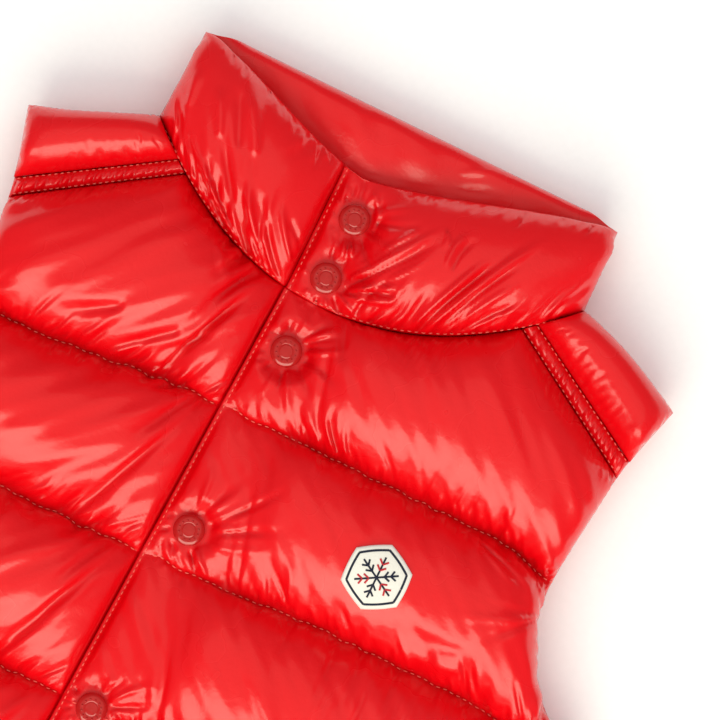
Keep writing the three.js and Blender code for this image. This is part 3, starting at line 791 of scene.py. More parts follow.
def thread(name, color):
    """Matte sewing thread with a fine twist."""
    shader = Shader(name, color, 0.5)
    twist = shader.noise(1800, 1)
    shade = tuple(c * 0.8 for c in color) + (1,)
    shader.feed(shader.surface.inputs["Base Color"], shader.mix(twist, shade, (*color, 1)))
    shader.bump(twist, 0.0001)
    return shader.material


def snap_enamel(look):
    """Glossy enamel over metal, a little uneven and worn duller in spots."""
    shader = Shader("snap_enamel", look.enamel, 0.2, coat_weight=0.8, coat_roughness=0.04)
    worn = shader.noise(420, 3, 0.6)
    darker = tuple(c * 0.75 for c in look.enamel) + (1,)
    shader.feed(shader.surface.inputs["Base Color"], shader.mix(worn, darker, (*look.enamel, 1)))
    shader.feed(shader.surface.inputs["Roughness"], worn * 0.2 + 0.1)
    shader.bump(worn, 0.00004)
    return shader.material


def badge_felt(look):
    """Pressed wool felt: matted fibres at two scales."""
    shader = Shader("badge_felt", look.felt, 0.95, sheen_weight=0.4)
    fibres = shader.noise(1500, 4, 0.7)
    shade = tuple(c * 0.82 for c in look.felt) + (1,)
    shader.feed(shader.surface.inputs["Base Color"], shader.mix(fibres, shade, (*look.felt, 1)))
    shader.bump(fibres, 0.0003)
    return shader.material


def floor_paper():
    """Pale studio paper."""
    shader = Shader("floor_paper", (0.92, 0.92, 0.92), 0.9)
    grain = shader.noise(300, 2)
    paper = shader.mix(grain, (0.9, 0.9, 0.9, 1), (0.94, 0.94, 0.94, 1))
    shader.feed(shader.surface.inputs["Base Color"], paper)
    return shader.material


# What one piece leaves for the pieces that are sewn to it: sheets of points in the garment's millimetres.
SEWN = {}


def finish_piece(made, *nodes, slot="shell", pad=None):
    """The piece rides with the vest and stands for its nodes, which are hidden."""
    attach(made, "root")
    if nodes:
        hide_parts(*nodes)


def cloth_of(x, y, height, gather_x, gather_y):
    """The lengths that a sheet's threads were cut to: along its filled shape, and longer by their gathers."""
    u = np.cumsum(np.diff(x, axis=1, prepend=x[:, :1]) * gather_x, axis=1)
    v = np.cumsum(np.diff(y, axis=0, prepend=y[:1]) * gather_y, axis=0)
    u += (x[:, :1] - x[:, :1].mean())
    v += (y[:1] - y[:1].mean())
    return np.stack([u, v, height], -1)


def snaps_press(x, y, ys=SNAP_YS):
    """How strongly the snaps hold the cloth down at a place: 1 under a cap and 0 away from it."""
    held = np.zeros(np.shape(x))
    for snap_y in ys:
        away = np.hypot(x - snap_x(snap_y), y - snap_y)
        held = np.maximum(held, 1 - smooth(SNAP_RADIUS + 0.8, SNAP_RADIUS + 9, away))
    return held


ROWS_A_BAFFLE = 30


def blend(one, other, share):
    """A sheet a share of the way from one to another, with its own share at each point."""
    return lerp(one, other, share[..., None])


def seam_points(sheet, seams=range(1, BAFFLES)):
    """The numbers of the points on a front's seams, in its refined sheet."""
    columns = sheet.shape[1]
    return np.concatenate([np.arange(columns) + seam * 2 * ROWS_A_BAFFLE * columns for seam in seams])


def front_left_sheet(sizes):
    """The wearer's left front, blown up over its filling. It is sewn down round its edges, along its seams
    and the overlap's stitches, and held by the snaps."""
    baffle, share = baffle_rows(ROWS_A_BAFFLE, 0.35)
    x, y = panel_plan([front_edge, placket_line, half_width], (16, 96), front_top, baffle, share)
    inwards = x - front_edge(y)
    full = 0.12 + 0.42 * rounded(inwards - 2, 15) + 0.46 * smooth(10, 52, inwards)
    side = rounded(half_width(y) - x, 24)
    height = lerp(FRONT_INSIDE + 0.6, SEAM_TOP + sizes.filling * crown(share) * full, side)
    press = snaps_press(x, y)
    height = lerp(height, SNAP_SEAT - 0.2, press)
    z = height + 0.4 * ripple(x + 0.8 * y, y, 10, 60, 3) * (share > 0) * smooth(30, 60, inwards)
    gather_x = 1 + sizes.slack * smooth(25, 80, inwards) + 0.02 * (1 - smooth(10, 45, half_width(y) - x))
    gather_y = 1 + sizes.slack * smooth(5, 50, inwards)
    ease = 0.04 + 0.96 * smooth(14, 44, inwards)
    ease[[0, -1], :] = 0
    ease[:, [0, 1, -1]] = 0
    ease[np.isclose(share[:, 0], 0), :] = 0
    ease[press > 0.995] = 0
    z[ease == 0] = height[ease == 0]
    start = np.stack([x, y, z], -1)
    floor = lerp(OVERLAP_INSIDE + 0.5, FRONT_INSIDE + 0.5, smooth(UNDERLAP + 2, PLACKET, inwards))
    steps = 60
    cloth = cloth_of(x, y, height, gather_x, gather_y)
    blown = settle(start, cloth, ease, floor, 0.05, steps)
    blown = refine(blend(np.stack([x, y, height], -1), blown, smooth(20, 50, inwards)))
    free = np.clip(refine(np.sign(ease)), 0, 1) * (1 - snaps_press(blown[..., 0], blown[..., 1]) ** 12)
    blown = slacken(blown, 0.9, free, 9)
    return raise_creases(blown, np.concatenate([LEFT_FRONT_CREASES, *front_puckers(1)]), free)


def front_right_sheet(sizes):
    """The wearer's right front. Its facing goes flat under the overlap."""
    baffle, share = baffle_rows(ROWS_A_BAFFLE, 0.35)
    x, y = panel_plan([underlap_edge, fold_line, rise_line, right_side], (5, 6, 86), front_top, baffle, share)
    inwards = fold_line(y) - x
    side = rounded(x + half_width(y), 24)
    padded = lerp(FRONT_INSIDE + 0.6, SEAM_TOP + sizes.filling * crown(share), side)
    height = lerp(UNDERLAP_TOP, padded, 0.5 * rounded(inwards, 5) + 0.5 * rounded(inwards, 24))
    z = height + 0.4 * ripple(x - 0.8 * y, y, 10, 60, 5) * (share > 0) * smooth(20, 50, inwards)
    gather_x = 1 + sizes.slack * smooth(15, 60, inwards) + 0.02 * (1 - smooth(10, 45, x + half_width(y)))
    gather_y = 1 + sizes.slack * smooth(5, 40, inwards)
    ease = 0.04 + 0.96 * smooth(4, 24, inwards)
    ease[[0, -1], :] = 0
    ease[:, :6] = 0
    ease[:, -1] = 0
    ease[np.isclose(share[:, 0], 0), :] = 0
    z[ease == 0] = height[ease == 0]
    start = np.stack([x, y, z], -1)
    steps = 60
    mirror = np.array([-1, 1, 1])
    cloth = cloth_of(-x, y, height, gather_x, gather_y)
    blown = settle(start * mirror, cloth, ease, FRONT_INSIDE + 0.5, 0.05, steps)
    blown = blend(np.stack([-x, y, height], -1), blown, smooth(3, 24, inwards))
    free = np.clip(refine(np.sign(ease)), 0, 1)
    blown = slacken(refine(blown) * mirror, -0.9, free, 10)
    return raise_creases(blown, np.concatenate([RIGHT_FRONT_CREASES, *front_puckers(-1)]), free)


def back_sheet():
    """The back's outside: flat on the surface, with a puckered groove along each seam and full rounded
    edges."""
    baffle, share = baffle_rows(18, 0.3)

    def right_neck(y):
        return corner(-1, neck_back, yoke_back_seam) + 0 * np.asarray(y)

    def left_neck(y):
        return corner(1, neck_back, yoke_back_seam) + 0 * np.asarray(y)

    x, y = panel_plan([right_side, right_neck, left_neck, half_width], (32, 60, 32), back_top, baffle, share)
    inwards = half_width(y) - np.abs(x)
    from_seam = np.minimum(share, 1 - share) * BAFFLE
    puckers = ripple(x, y, 9, 50, 11)
    groove = 5.5 * (1 - rounded(from_seam, 13 + 2.5 * puckers))
    edge = (BACK_INSIDE - 1) * (1 - rounded(inwards, 15 + 1.5 * ripple(y, x, 11, 60, 12)))
    return np.stack([x, y, np.maximum(np.maximum(groove, edge), 0)], -1)


class VEST_OT_back(Operator):
    """The quilted back, flat where it lies on the surface"""
    bl_idname = "vest.back"
    bl_label = "Back"

    def execute(self, context):
        points, faces = padded_shell(back_sheet(), [0, -1], [BACK_INSIDE, BACK_INSIDE])
        made = mesh_object("back_shell", points, faces, shared_material("shell_cloth"))
        finish_piece(made, "back_panel", pad=0.8)
        return {"FINISHED"}


class VEST_OT_fronts(Operator):
    """The two quilted fronts, the left one over the right"""
    bl_idname = "vest.fronts"
    bl_label = "Fronts"

    def execute(self, context):
        sizes = context.scene.vest_sizes
        cloth = shared_material("shell_cloth")
        SEWN["badge_seat"], left = badge_seat(front_left_sheet(sizes))
        SEWN["front_left"] = left
        levels = [OVERLAP_INSIDE, OVERLAP_INSIDE, FRONT_INSIDE, FRONT_INSIDE]
        points, faces = padded_shell(left, [0, 24, 32, -1], levels)
        made = mesh_object("front_left_shell", points, faces, cloth, seam_points(left))
        finish_piece(made, "front_panel_left", pad=0.8)
        right = front_right_sheet(sizes)
        SEWN["front_right"] = right
        points, faces = padded_shell(right, [0, -1], [FRONT_INSIDE, FRONT_INSIDE])
        made = mesh_object("front_right_shell", points, faces, cloth, seam_points(right))
        finish_piece(made, "front_panel_right", pad=0.8)
        return {"FINISHED"}


def collar_front_top(x):
    """The top edge of the collar's front, lowest at the overlap and rising to the side folds."""
    reach = np.where(x < -10, COLLAR_HALF - 10, COLLAR_HALF + 10)
    out = np.clip(np.abs(x + 10) / reach, 0, 1)
    return COLLAR_DIP + (COLLAR_CORNER - COLLAR_DIP) * (out + smooth(0, 1, out)) / 2


def collar_plan(across, share, front):
    """x and y of the collar at a place across it and a share of its height, on its front or its back. It
    stands on the neck seam and leans outwards at the side folds."""
    fold = COLLAR_HALF - np.abs(across)
    lean = (NECK_HALF / COLLAR_HALF - 1) * (1 - share) * smooth(0.5, 1, np.abs(across) / COLLAR_HALF)
    x = across * (1 + lean)
    seam = (neck_front(x) if front else neck_back(x)) - SEAM_HALF / 2
    top = collar_front_top(across) if front else COLLAR_TOP + 0 * across
    return x, lerp(seam, lerp(COLLAR_CORNER, top, smooth(0, 16, fold)), share)


COLLAR_ROWS = 28


def collar_front_sheet(sign, sizes):
    """One front half of the collar, from the overlap to its side fold, blown up over its filling."""
    share = spread(COLLAR_ROWS, 0.3)[:, None]
    if sign > 0:
        across = np.concatenate([np.linspace(EDGE_X, EDGE_X + PLACKET, 16, endpoint=False),
                                 EDGE_X + PLACKET + (COLLAR_HALF - EDGE_X - PLACKET) * spread(48, 0.2)])
    else:
        across = np.concatenate([np.linspace(1.5, EDGE_X - 0.15, 5, endpoint=False),
                                 np.linspace(EDGE_X - 0.15, EDGE_X - 6, 5, endpoint=False),
                                 EDGE_X - 6 - (COLLAR_HALF + EDGE_X - 6) * spread(44, 0.2)])
    across = across[None, :]
    x, y = collar_plan(across, share, True)
    fold = COLLAR_HALF - np.abs(across)
    full = 0.12 + 0.88 * crown(lerp(0.015, 0.97, share))
    puff = SEAM_TOP - 1.5 + (sizes.filling + 1) * full + 0.5 * ripple(x, y, 45, 60, 17) * crown(share)
    height = lerp(MIDDLE, puff, rounded(fold, 26))
    if sign > 0:
        inwards = across - EDGE_X
        height = lerp(SEAM_TOP, height, 0.45 * rounded(inwards - 2, 15) + 0.55 * smooth(10, 50, inwards))
    else:
        inwards = EDGE_X - 0.15 - across
        height = lerp(UNDERLAP_TOP, height, 0.5 * rounded(inwards, 5) + 0.5 * rounded(inwards, 20))
    press = snaps_press(x, y, SNAP_YS[:2]) if sign > 0 else 0 * x
    height = lerp(height, SNAP_SEAT - 0.2, press)
    gather_x = 1 + 1.5 * sizes.slack * smooth(15, 50, inwards) * smooth(0, 0.25, 1 - share)
    gather_y = 1 + sizes.slack * smooth(5, 40, inwards) + 0 * share
    ease = 0.04 + 0.96 * smooth(12, 36, inwards) + 0 * share
    ease[[0, -1], :] = 0
    ease[:, -1] = 0
    ease[:, [0, 1] if sign > 0 else slice(0, 6)] = 0
    ease[press > 0.995] = 0
    z = height + 0.7 * ripple(x + 0.3 * y, y, 12, 80, 7 + sign) * smooth(10, 40, inwards) * (ease > 0)
    steps = 60
    floor = np.minimum(height, FRONT_INSIDE + 1)
    mirror = np.array([sign, 1, 1])
    cloth = cloth_of(sign * x, y, height, gather_x, gather_y)
    blown = settle(np.stack([x, y, z], -1) * mirror, cloth, ease, floor, 0.05, steps) * mirror
    calm = smooth(14, 40, inwards) if sign > 0 else smooth(3, 24, inwards)
    blown = refine(blend(np.stack([x, y, height], -1), blown, calm + 0 * share))
    free = np.clip(refine(np.sign(ease)), 0, 1) * (1 - np.clip(refine(press), 0, 1) ** 12)
    placed = [row for row in COLLAR_CREASES if sign * (row[0] + 20) > 0]
    blown = raise_creases(blown, placed, free, 0.65)
    return raise_creases(blown, np.concatenate(collar_puckers(sign)), free)


def collar_sheets(sizes):
    """The collar's outside and inside, each one grid round the band: the right front, the back and the left
    front. Outside, the fronts are blown up and the back lies on the surface. Inside, the back's upper edge
    shows above the fronts, and is padded where nothing lies on it."""
    right = collar_front_sheet(-1, sizes)
    left = collar_front_sheet(1, sizes)[:, ::-1]
    SEWN["collar_right"], SEWN["collar_left"] = right, left
    share = refine(np.stack([spread(COLLAR_ROWS, 0.3)[:, None]] * 3, -1).repeat(2, 1))[:, :1, 0]
    across = (COLLAR_HALF * np.sin(np.linspace(-0.5, 0.5, 121)[1:-1] * np.pi))[None, :]
    fold = COLLAR_HALF - np.abs(across)
    x, y = collar_plan(across, share, False)
    roll = 6 * (1 - rounded(1 - share, 0.12))
    under = np.maximum(roll, MIDDLE * (1 - rounded(fold, 13)))
    folds = ripple(x + 0.6 * y, y, 30, 90, 21) * 0.7
    shown = smooth(-2, 18, y - collar_front_top(np.clip(x, -COLLAR_HALF, COLLAR_HALF)))
    raised = shown * rounded(1 - share, 0.3) * smooth(3, 22, fold) * (3.5 + folds)
    above = BACK_INSIDE - roll * smooth(4, 20, fold) * 0.8 + raised
    outside = np.concatenate([right, np.stack([x, y, under], -1), left], 1)
    inset = 5 * (1 - np.clip(fold / 24, 0, 1))
    x_in, y_in = collar_plan(across - np.sign(across) * inset, share, False)
    behind = raise_creases(np.stack([x_in, y_in, above], -1), COLLAR_BACK_CREASES, shown)

    def lining(sheet, overlap):
        """The plain inside of a front: its points at the level of the layer below, drawn in at the fold."""
        side = np.sign(sheet[0, -1, 0] + sheet[0, 0, 0])
        in_fold = NECK_HALF - np.abs(sheet[..., 0])
        x_lined = sheet[..., 0] - side * 5 * (1 - np.clip(in_fold / 24, 0, 1))
        level = FRONT_INSIDE + 0 * x_lined
        if overlap:
            level = lerp(OVERLAP_INSIDE, FRONT_INSIDE, smooth(UNDERLAP + 2, PLACKET, sheet[..., 0] - EDGE_X))
        rise = 3.0 * (1 - rounded(1 - share, 0.1)) * smooth(4, 20, in_fold)
        return np.stack([x_lined, sheet[..., 1] - 0.6 * (share > 0.999), level + rise * (share > 0.5)], -1)

    inside = np.concatenate([lining(right, False), behind, lining(left, True)], 1)
    return outside, inside


class VEST_OT_collar(Operator):
    """The padded stand collar, folded flat at its sides"""
    bl_idname = "vest.collar"
    bl_label = "Collar"

    def execute(self, context):
        points, faces = closed_sheet(*collar_sheets(context.scene.vest_sizes))
        made = mesh_object("collar_shell", points, faces, shared_material("shell_cloth"))
        finish_piece(made, "collar", pad=0.8)
        return {"FINISHED"}


YOKE_COLUMNS = 44
YOKE_ROWS = 16


def yoke_sheets(sign):
    """A shoulder yoke's outside and inside: one pad from the band's seam over the shoulder fold and under to
    the back's seam. Above it is blown up, and below it lies on the surface."""
    front_neck = corner(sign, neck_front, band_outer)
    back_neck = corner(sign, neck_back, yoke_back_seam)

    def side(y):
        return sign * armhole_x(y)

    ends = (meeting(side, yoke_back_seam), meeting(side, band_outer))

    def plan(along, out, front):
        neck_x = lerp(front_neck if front else back_neck, sign * NECK_HALF, out)
        neck_y = (neck_front if front else neck_back)(neck_x) - SEAM_HALF
        arm_y = lerp(ends[front], tip_y(sign), out) + SEAM_HALF * (1 - out)
        bow = 1.5 * sign * np.sin(np.pi * along) * out
        y = lerp(neck_y, arm_y, along) + bow + SEAM_HALF * (1 - out) * (1 - along)
        return lerp(neck_x, side(arm_y), along), y

    along = spread(YOKE_COLUMNS, 0.3)[None, :]
    out = np.sin(np.linspace(0, 0.5, YOKE_ROWS + 1) * np.pi)[:, None]
    x, y = plan(along, out, 1)
    end = rounded(1 - along, 0.14) * (0.5 + 0.5 * rounded(along, 0.2))
    height = MIDDLE + (SEAM_TOP - MIDDLE + 13 * np.minimum(1, out * 3) * end) * np.sqrt(1 - out ** 2.4)
    ease = np.ones_like(x)
    ease[[0, -1], :] = 0
    ease[:, [0, -1]] = 0
    z = height + 0.5 * ripple(x + 0.5 * y, y, 13, 40, 31 + sign) * (ease > 0)
    mirror = np.array([sign, 1, 1])
    cloth = cloth_of(sign * x, y, height, 1.035 + 0 * x, 1.05 + 0 * x)
    steps = 50
    upper = settle(np.stack([x, y, z], -1) * mirror, cloth, ease, FRONT_INSIDE - 1, 0.04, steps) * mirror
    upper = refine(upper)
    SEWN["yoke_%d" % sign] = upper
    along = refine(np.stack([along.repeat(2, 0)] * 3, -1))[:1, :, 0]
    out = np.cos(np.linspace(0, 0.5, YOKE_ROWS + 1)[1:] * np.pi)[:, None]
    x, y = plan(along, out, 0)
    end = rounded(1 - along, 0.16)
    z = (BACK_INSIDE - 1.5) * (1 - rounded(1 - out, 0.5) * end)
    outside = np.concatenate([upper, np.stack([x, y, z], -1)])
    x, y = plan(along, np.minimum(out, 0.9), 0)
    x_up, y_up = plan(along, np.minimum(np.linspace(0, 1, len(upper))[:, None], 0.9), 1)
    above = np.stack([x_up, y_up, FRONT_INSIDE + 0 * x_up], -1)
    inside = np.concatenate([above, np.stack([x, y, BACK_INSIDE + 0 * x], -1)])
    return outside, inside


def band_sheet(sign):
    """A shoulder band's outside: a narrow strip with uneven gathers from seam to seam."""

    def side(y):
        return sign * armhole_x(y)

    ends = (meeting(side, band_inner), meeting(side, band_outer))
    necks = (corner(sign, neck_front, band_inner), corner(sign, neck_front, band_outer))
    along = np.linspace(0, 1, 181)[None, :]
    across = spread(12, 0.2)[:, None]
    neck_x = lerp(*necks, across) + sign * 2 * SEAM_HALF
    x = lerp(neck_x, side(lerp(*ends, across)), along)
    y = lerp(band_inner(x) - SEAM_HALF / 2, band_outer(x) + SEAM_HALF / 2, across)
    middle = np.sin(np.pi * across)
    sharp = np.abs(ripple(x, y * 0.3, 6.5, 30, 41 + sign)) ** 0.8
    height = SEAM_TOP - 1 + middle ** 0.7 * (2.4 + 1.0 * sharp) - 0.5 * (1 - middle) * sharp
    end = rounded(1 - along, 0.1)
    return np.stack([x, y, lerp(FRONT_INSIDE + 1, height, end)], -1)


class VEST_OT_shoulders(Operator):
    """The padded yokes over the shoulders and the gathered bands below them"""
    bl_idname = "vest.shoulders"
    bl_label = "Shoulders"

    def execute(self, context):
        cloth = shared_material("shell_cloth")
        for sign, name in ((-1, "right"), (1, "left")):
            points, faces = closed_sheet(*yoke_sheets(sign))
            made = mesh_object(f"yoke_{name}_shell", points, faces, cloth)
            finish_piece(made, f"shoulder_yoke_{name}", pad=0.7)
            band = band_sheet(sign)
            SEWN["band_%d" % sign] = band
            points, faces = padded_shell(band, [0, -1], [FRONT_INSIDE, FRONT_INSIDE])
            made = mesh_object(f"band_{name}_shell", points, faces, cloth)
            finish_piece(made, f"shoulder_band_{name}", pad=0.4)
        return {"FINISHED"}


CAPSULE = ((0.0, 0.3, -0.5), (0.14, 0.85, 0.1), (0.5, 1.0, 0.5), (0.86, 0.85, 0.1), (1.0, 0.3, -0.5))


def capsules(starts, ends, ups, radius, sides=6):
    """Points and faces of short threads from starts to ends. Each ring is a share of the way along, with a
    share of the radius, and arches over the cloth by a share of it."""
    along = (ends - starts)[:, None, :]
    forward = along / np.maximum(np.linalg.norm(along, axis=-1, keepdims=True), 1e-9)
    up = np.asarray(ups, float)[:, None, :]
    up = up - (up * forward).sum(-1, keepdims=True) * forward
    up = up / np.maximum(np.linalg.norm(up, axis=-1, keepdims=True), 1e-9)
    across = np.cross(forward, up)
    turn = np.linspace(0, 2 * np.pi, sides, endpoint=False)
    rings = []
    for share, thick, arch in CAPSULE:
        middle = starts[:, None, :] + along * share + up * radius * arch
        circle = np.cos(turn)[None, :, None] * across + np.sin(turn)[None, :, None] * up
        rings.append(middle + circle * radius * thick)
    points = np.stack(rings, 1)
    count, ring_count = points.shape[:2]
    index = np.arange(ring_count * sides).reshape(ring_count, sides)
    beside = np.roll(index, -1, 1)
    one = np.stack([index[:-1], beside[:-1], beside[1:], index[1:]], -1).reshape(-1, 4)
    base = (np.arange(count) * ring_count * sides)[:, None, None]
    quads = (base + one[None]).reshape(-1, 4).tolist()
    caps = (base + np.stack([index[0], index[-1]])[None]).reshape(-1, sides).tolist()
    return points.reshape(-1, 3), quads + caps


def stitches(path, ups, sizes, closer=1.0):
    """The starts, ends and upward directions of the stitches of a seam along a path, shorter by closer."""
    pitch, length = sizes.stitch_pitch * closer, sizes.stitch_length * closer
    way = np.append(0, np.cumsum(np.linalg.norm(np.diff(path, axis=0), axis=1)))
    count = max(1, int(way[-1] / pitch))
    middle = (np.arange(count) + 0.5) * way[-1] / count

    def at(distance, values):
        return np.stack([np.interp(distance, way, values[:, k]) for k in range(3)], -1)

    return at(middle - length / 2, path), at(middle + length / 2, path), at(middle, ups)


def sewn_object(name, runs, material, radius):
    """One object with the stitches of several runs."""
    starts, ends, ups = (np.concatenate(parts) for parts in zip(*runs))
    points, faces = capsules(starts, ends, ups, radius)
    made = mesh_object(name, metres(points), faces, material)
    finish_piece(made)
    return made


def between_rows(sheet, row):
    """A path across a sheet at a row that may lie between two of its rows, and the sheet's normals there."""
    low = int(row)
    share = row - low
    high = min(low + 1, sheet.shape[0] - 1)
    ups = sheet_normals(sheet)
    ups *= np.sign(ups[..., 2:].mean())
    return lerp(sheet[low], sheet[high], share), lerp(ups[low], ups[high], share)


class VEST_OT_stitching(Operator):
    """The seams' stitches and the overlap's topstitching"""
    bl_idname = "vest.stitching"
    bl_label = "Stitching"

    def execute(self, context):
        sizes = context.scene.vest_sizes
        color = shared_material("seam_thread")
        for name, skip in (("front_left", 5), ("front_right", 14)):
            sheet = SEWN[name]
            runs = []
            for seam in range(1, BAFFLES):
                path, ups = between_rows(sheet, seam * 2 * ROWS_A_BAFFLE)
                runs.append(stitches(path[skip:] + ups[skip:] * 0.8, ups[skip:], sizes))
            hem, ups = between_rows(sheet, 3)
            runs.append(stitches(hem[skip:], ups[skip:], sizes))
            if name == "front_left":
                path, ups = between_rows(sheet.transpose(1, 0, 2), 1.6)
                runs.append(stitches(path + ups * 0.1, ups, sizes, 0.85))
            sewn_object(f"{name}_stitches", runs, color, sizes.thread_radius)
        runs = []
        for sign in (-1, 1):
            for row in (1.6, 10.4):
                path, ups = between_rows(SEWN["band_%d" % sign], row)
                runs.append(stitches(path[:-3] + ups[:-3] * 0.1, ups[:-3], sizes, 0.85))
        sewn_object("band_stitches", runs, color, sizes.thread_radius)
        runs = []
        for name, skip in (("collar_left", 2), ("collar_right", 14)):
            path, ups = between_rows(SEWN[name], 1.2)
            runs.append(stitches(path[skip:-4], ups[skip:-4], sizes))
        path, ups = between_rows(SEWN["collar_left"][:, ::-1].transpose(1, 0, 2), 1.6)
        runs.append(stitches(path + ups * 0.1, ups, sizes, 0.85))
        sewn_object("collar_stitches", runs, color, sizes.thread_radius)
        return {"FINISHED"}


SNAP_PROFILE = (
    (0.0, 2.98), (2.6, 2.95), (2.85, 2.88), (3.05, 2.74), (3.25, 2.72), (3.45, 2.82), (3.65, 2.88),
    (5.0, 2.82), (5.3, 2.76), (5.6, 2.66), (5.9, 2.54), (6.2, 2.39), (6.45, 2.22), (6.65, 1.98),
    (6.82, 1.65), (6.93, 1.25), (7.0, 0.85), (6.94, 0.5), (6.75, 0.25), (6.4, 0.08), (0.0, 0.0),
)
SNAP_TICKS = 12


def snap_mesh(snap_y):
    """Points and faces of a snap cap: its profile turned about its axis, with raised bars on its face."""
    sides = 64
    profile = np.array(SNAP_PROFILE[1:-1])
    turn = np.linspace(0, 2 * np.pi, sides, endpoint=False)
    ring = np.stack([np.cos(turn), np.sin(turn)], -1)
    rings = np.concatenate([profile[:, None, :1] * ring[None], profile[:, None, 1:].repeat(sides, 1)], -1)
    points, faces = closed_rings(rings, [[0, 0, SNAP_PROFILE[0][1]], [0, 0, 0]])
    turn = np.linspace(0, 2 * np.pi, SNAP_TICKS, endpoint=False)
    ring = np.stack([np.cos(turn), np.sin(turn), 0 * turn], -1)
    up = np.array([0, 0, 1.0])
    ups = np.tile(up, (SNAP_TICKS, 1))
    bars, bar_faces = capsules(ring * 3.85 + up * 2.92, ring * 4.75 + up * 2.88, ups, 0.34)
    faces += [[n + len(points) for n in face] for face in bar_faces]
    points = np.concatenate([points, bars]) + np.array([snap_x(snap_y), snap_y, SNAP_SEAT + 0.3])
    return metres(points), faces


class VEST_OT_snaps(Operator):
    """The enamelled snap caps"""
    bl_idname = "vest.snaps"
    bl_label = "Snap Caps"

    def execute(self, context):
        for n, snap_y in enumerate(SNAP_YS):
            points, faces = snap_mesh(snap_y)
            made = mesh_object(f"snap_cap_{n + 1}", points, faces, shared_material("snap_enamel"))
            finish_piece(made, f"snap_{n + 1}", slot="snap")
        return {"FINISHED"}


def hexagon(turn, soft=0.85):
    """The radius of a hexagon with soft corners at a turn about its middle."""
    sector = (turn + math.pi / 6) % (math.pi / 3) - math.pi / 6
    return lerp(1.0, math.cos(math.pi / 6) / np.cos(sector), soft)


def badge_seat(sheet):
    """The smooth bowl that the badge lies on: the quadratic in x and y nearest to the sheet round it.
    Returns a function of x and y, and the sheet pressed to it under the badge."""
    x, y = sheet[..., 0] - BADGE_X, sheet[..., 1] - BADGE_Y
    away = np.hypot(x, y)
    near = (away < BADGE_RADIUS + 3) & (sheet[..., 2] > FRONT_INSIDE + 3)

    def terms(x, y):
        return np.stack([np.ones_like(x), x, y, x * x, x * y, y * y], -1)

    fit = np.linalg.lstsq(terms(x[near], y[near]), sheet[..., 2][near], rcond=None)[0]
    pressed = sheet.copy()
    held = 1 - smooth(BADGE_RADIUS - 1, BADGE_RADIUS + 6, away)
    pressed[..., 2] = lerp(sheet[..., 2], terms(x, y) @ fit - 0.2, held)

    def seat(x, y):
        return terms(x - BADGE_X, y - BADGE_Y) @ fit

    return seat, pressed


SNOW_ARM = ((0.0, 0.0, 0.62, 0.0), (0.22, 0.0, 0.34, 0.13), (0.22, 0.0, 0.34, -0.13), (0.4, 0.0, 0.52, 0.13),
            (0.4, 0.0, 0.52, -0.13))


class VEST_OT_badge(Operator):
    """The felt badge, sewn round its edge, with an embroidered snow crystal"""
    bl_idname = "vest.badge"
    bl_label = "Badge"

    def execute(self, context):
        seat = SEWN["badge_seat"]
        outwards = np.concatenate([np.linspace(0.06, 0.9, 14), [0.94, 0.97, 0.99, 1.0]])
        share = np.concatenate([outwards, outwards[::-1]])[:, None]
        turn = np.linspace(0, 2 * np.pi, 120, endpoint=False)[None, :]
        radius = BADGE_RADIUS * share * lerp(1.0, hexagon(turn), 0.9)
        x, y = BADGE_X + radius * np.cos(turn), BADGE_Y + radius * np.sin(turn)
        upper = (np.arange(len(share)) < len(outwards))[:, None]
        lift = np.where(upper, 0.15 + 1.35 * rounded(1 - share, 0.08), -0.1)
        middle = seat(np.array(BADGE_X), np.array(BADGE_Y))
        poles = [[BADGE_X, BADGE_Y, middle + 1.5], [BADGE_X, BADGE_Y, middle - 0.1]]
        points, faces = closed_rings(np.stack([x, y, seat(x, y) + lift], -1), poles)
        made = mesh_object("felt_badge", metres(points), faces, shared_material("badge_felt"))
        finish_piece(made, "badge", slot="badge")
        flat_area = 0.5 * np.mean((BADGE_RADIUS * MM * lerp(1.0, hexagon(turn), 0.9)) ** 2) * 2 * np.pi

        def on_felt(x, y):
            return np.stack([x, y, seat(x, y) + 1.55], -1)

        def satin(line, width, pitch):
            """Threads laid side by side across a line, in the badge's own radii."""
            line = np.asarray(line) * BADGE_RADIUS + np.array([BADGE_X, BADGE_Y])
            way = np.append(0, np.cumsum(np.hypot(*np.diff(line, axis=0).T)))
            at = np.arange(pitch / 2, way[-1], pitch)
            x, y = np.interp(at, way, line[:, 0]), np.interp(at, way, line[:, 1])
            dx = np.interp(at + 0.01, way, line[:, 0]) - np.interp(at - 0.01, way, line[:, 0])
            dy = np.interp(at + 0.01, way, line[:, 1]) - np.interp(at - 0.01, way, line[:, 1])
            size = np.hypot(dx, dy) * 2 / width
            a = on_felt(x - dy / size, y + dx / size)
            b = on_felt(x + dy / size, y - dx / size)
            return a, b, np.tile([0, 0, 1.0], (len(a), 1))

        around = np.linspace(0, 2 * np.pi, 241)
        edge = 0.84 * lerp(1.0, hexagon(around), 0.9)
        border = np.stack([edge * np.cos(around), edge * np.sin(around)], -1)
        navy_runs = [satin(border, 1.1, 0.42)]
        scarlet_runs = []
        for arm in range(6):
            angle = math.pi / 6 + arm * math.pi / 3
            spin = np.array([[math.cos(angle), math.sin(angle)], [-math.sin(angle), math.cos(angle)]])
            for n, (x0, y0, x1, y1) in enumerate(SNOW_ARM):
                line = np.linspace((x0, y0), (x1, y1), 12) @ spin
                runs = scarlet_runs if n and arm % 2 else navy_runs
                runs.append(satin(line, 0.95, 0.4))
        for name, runs in (("navy_thread", navy_runs), ("scarlet_thread", scarlet_runs)):
            threads_made = sewn_object(f"badge_{name}", runs, shared_material(name), 0.24)
        return {"FINISHED"}


WARM_WHITE = (1.0, 0.97, 0.8)


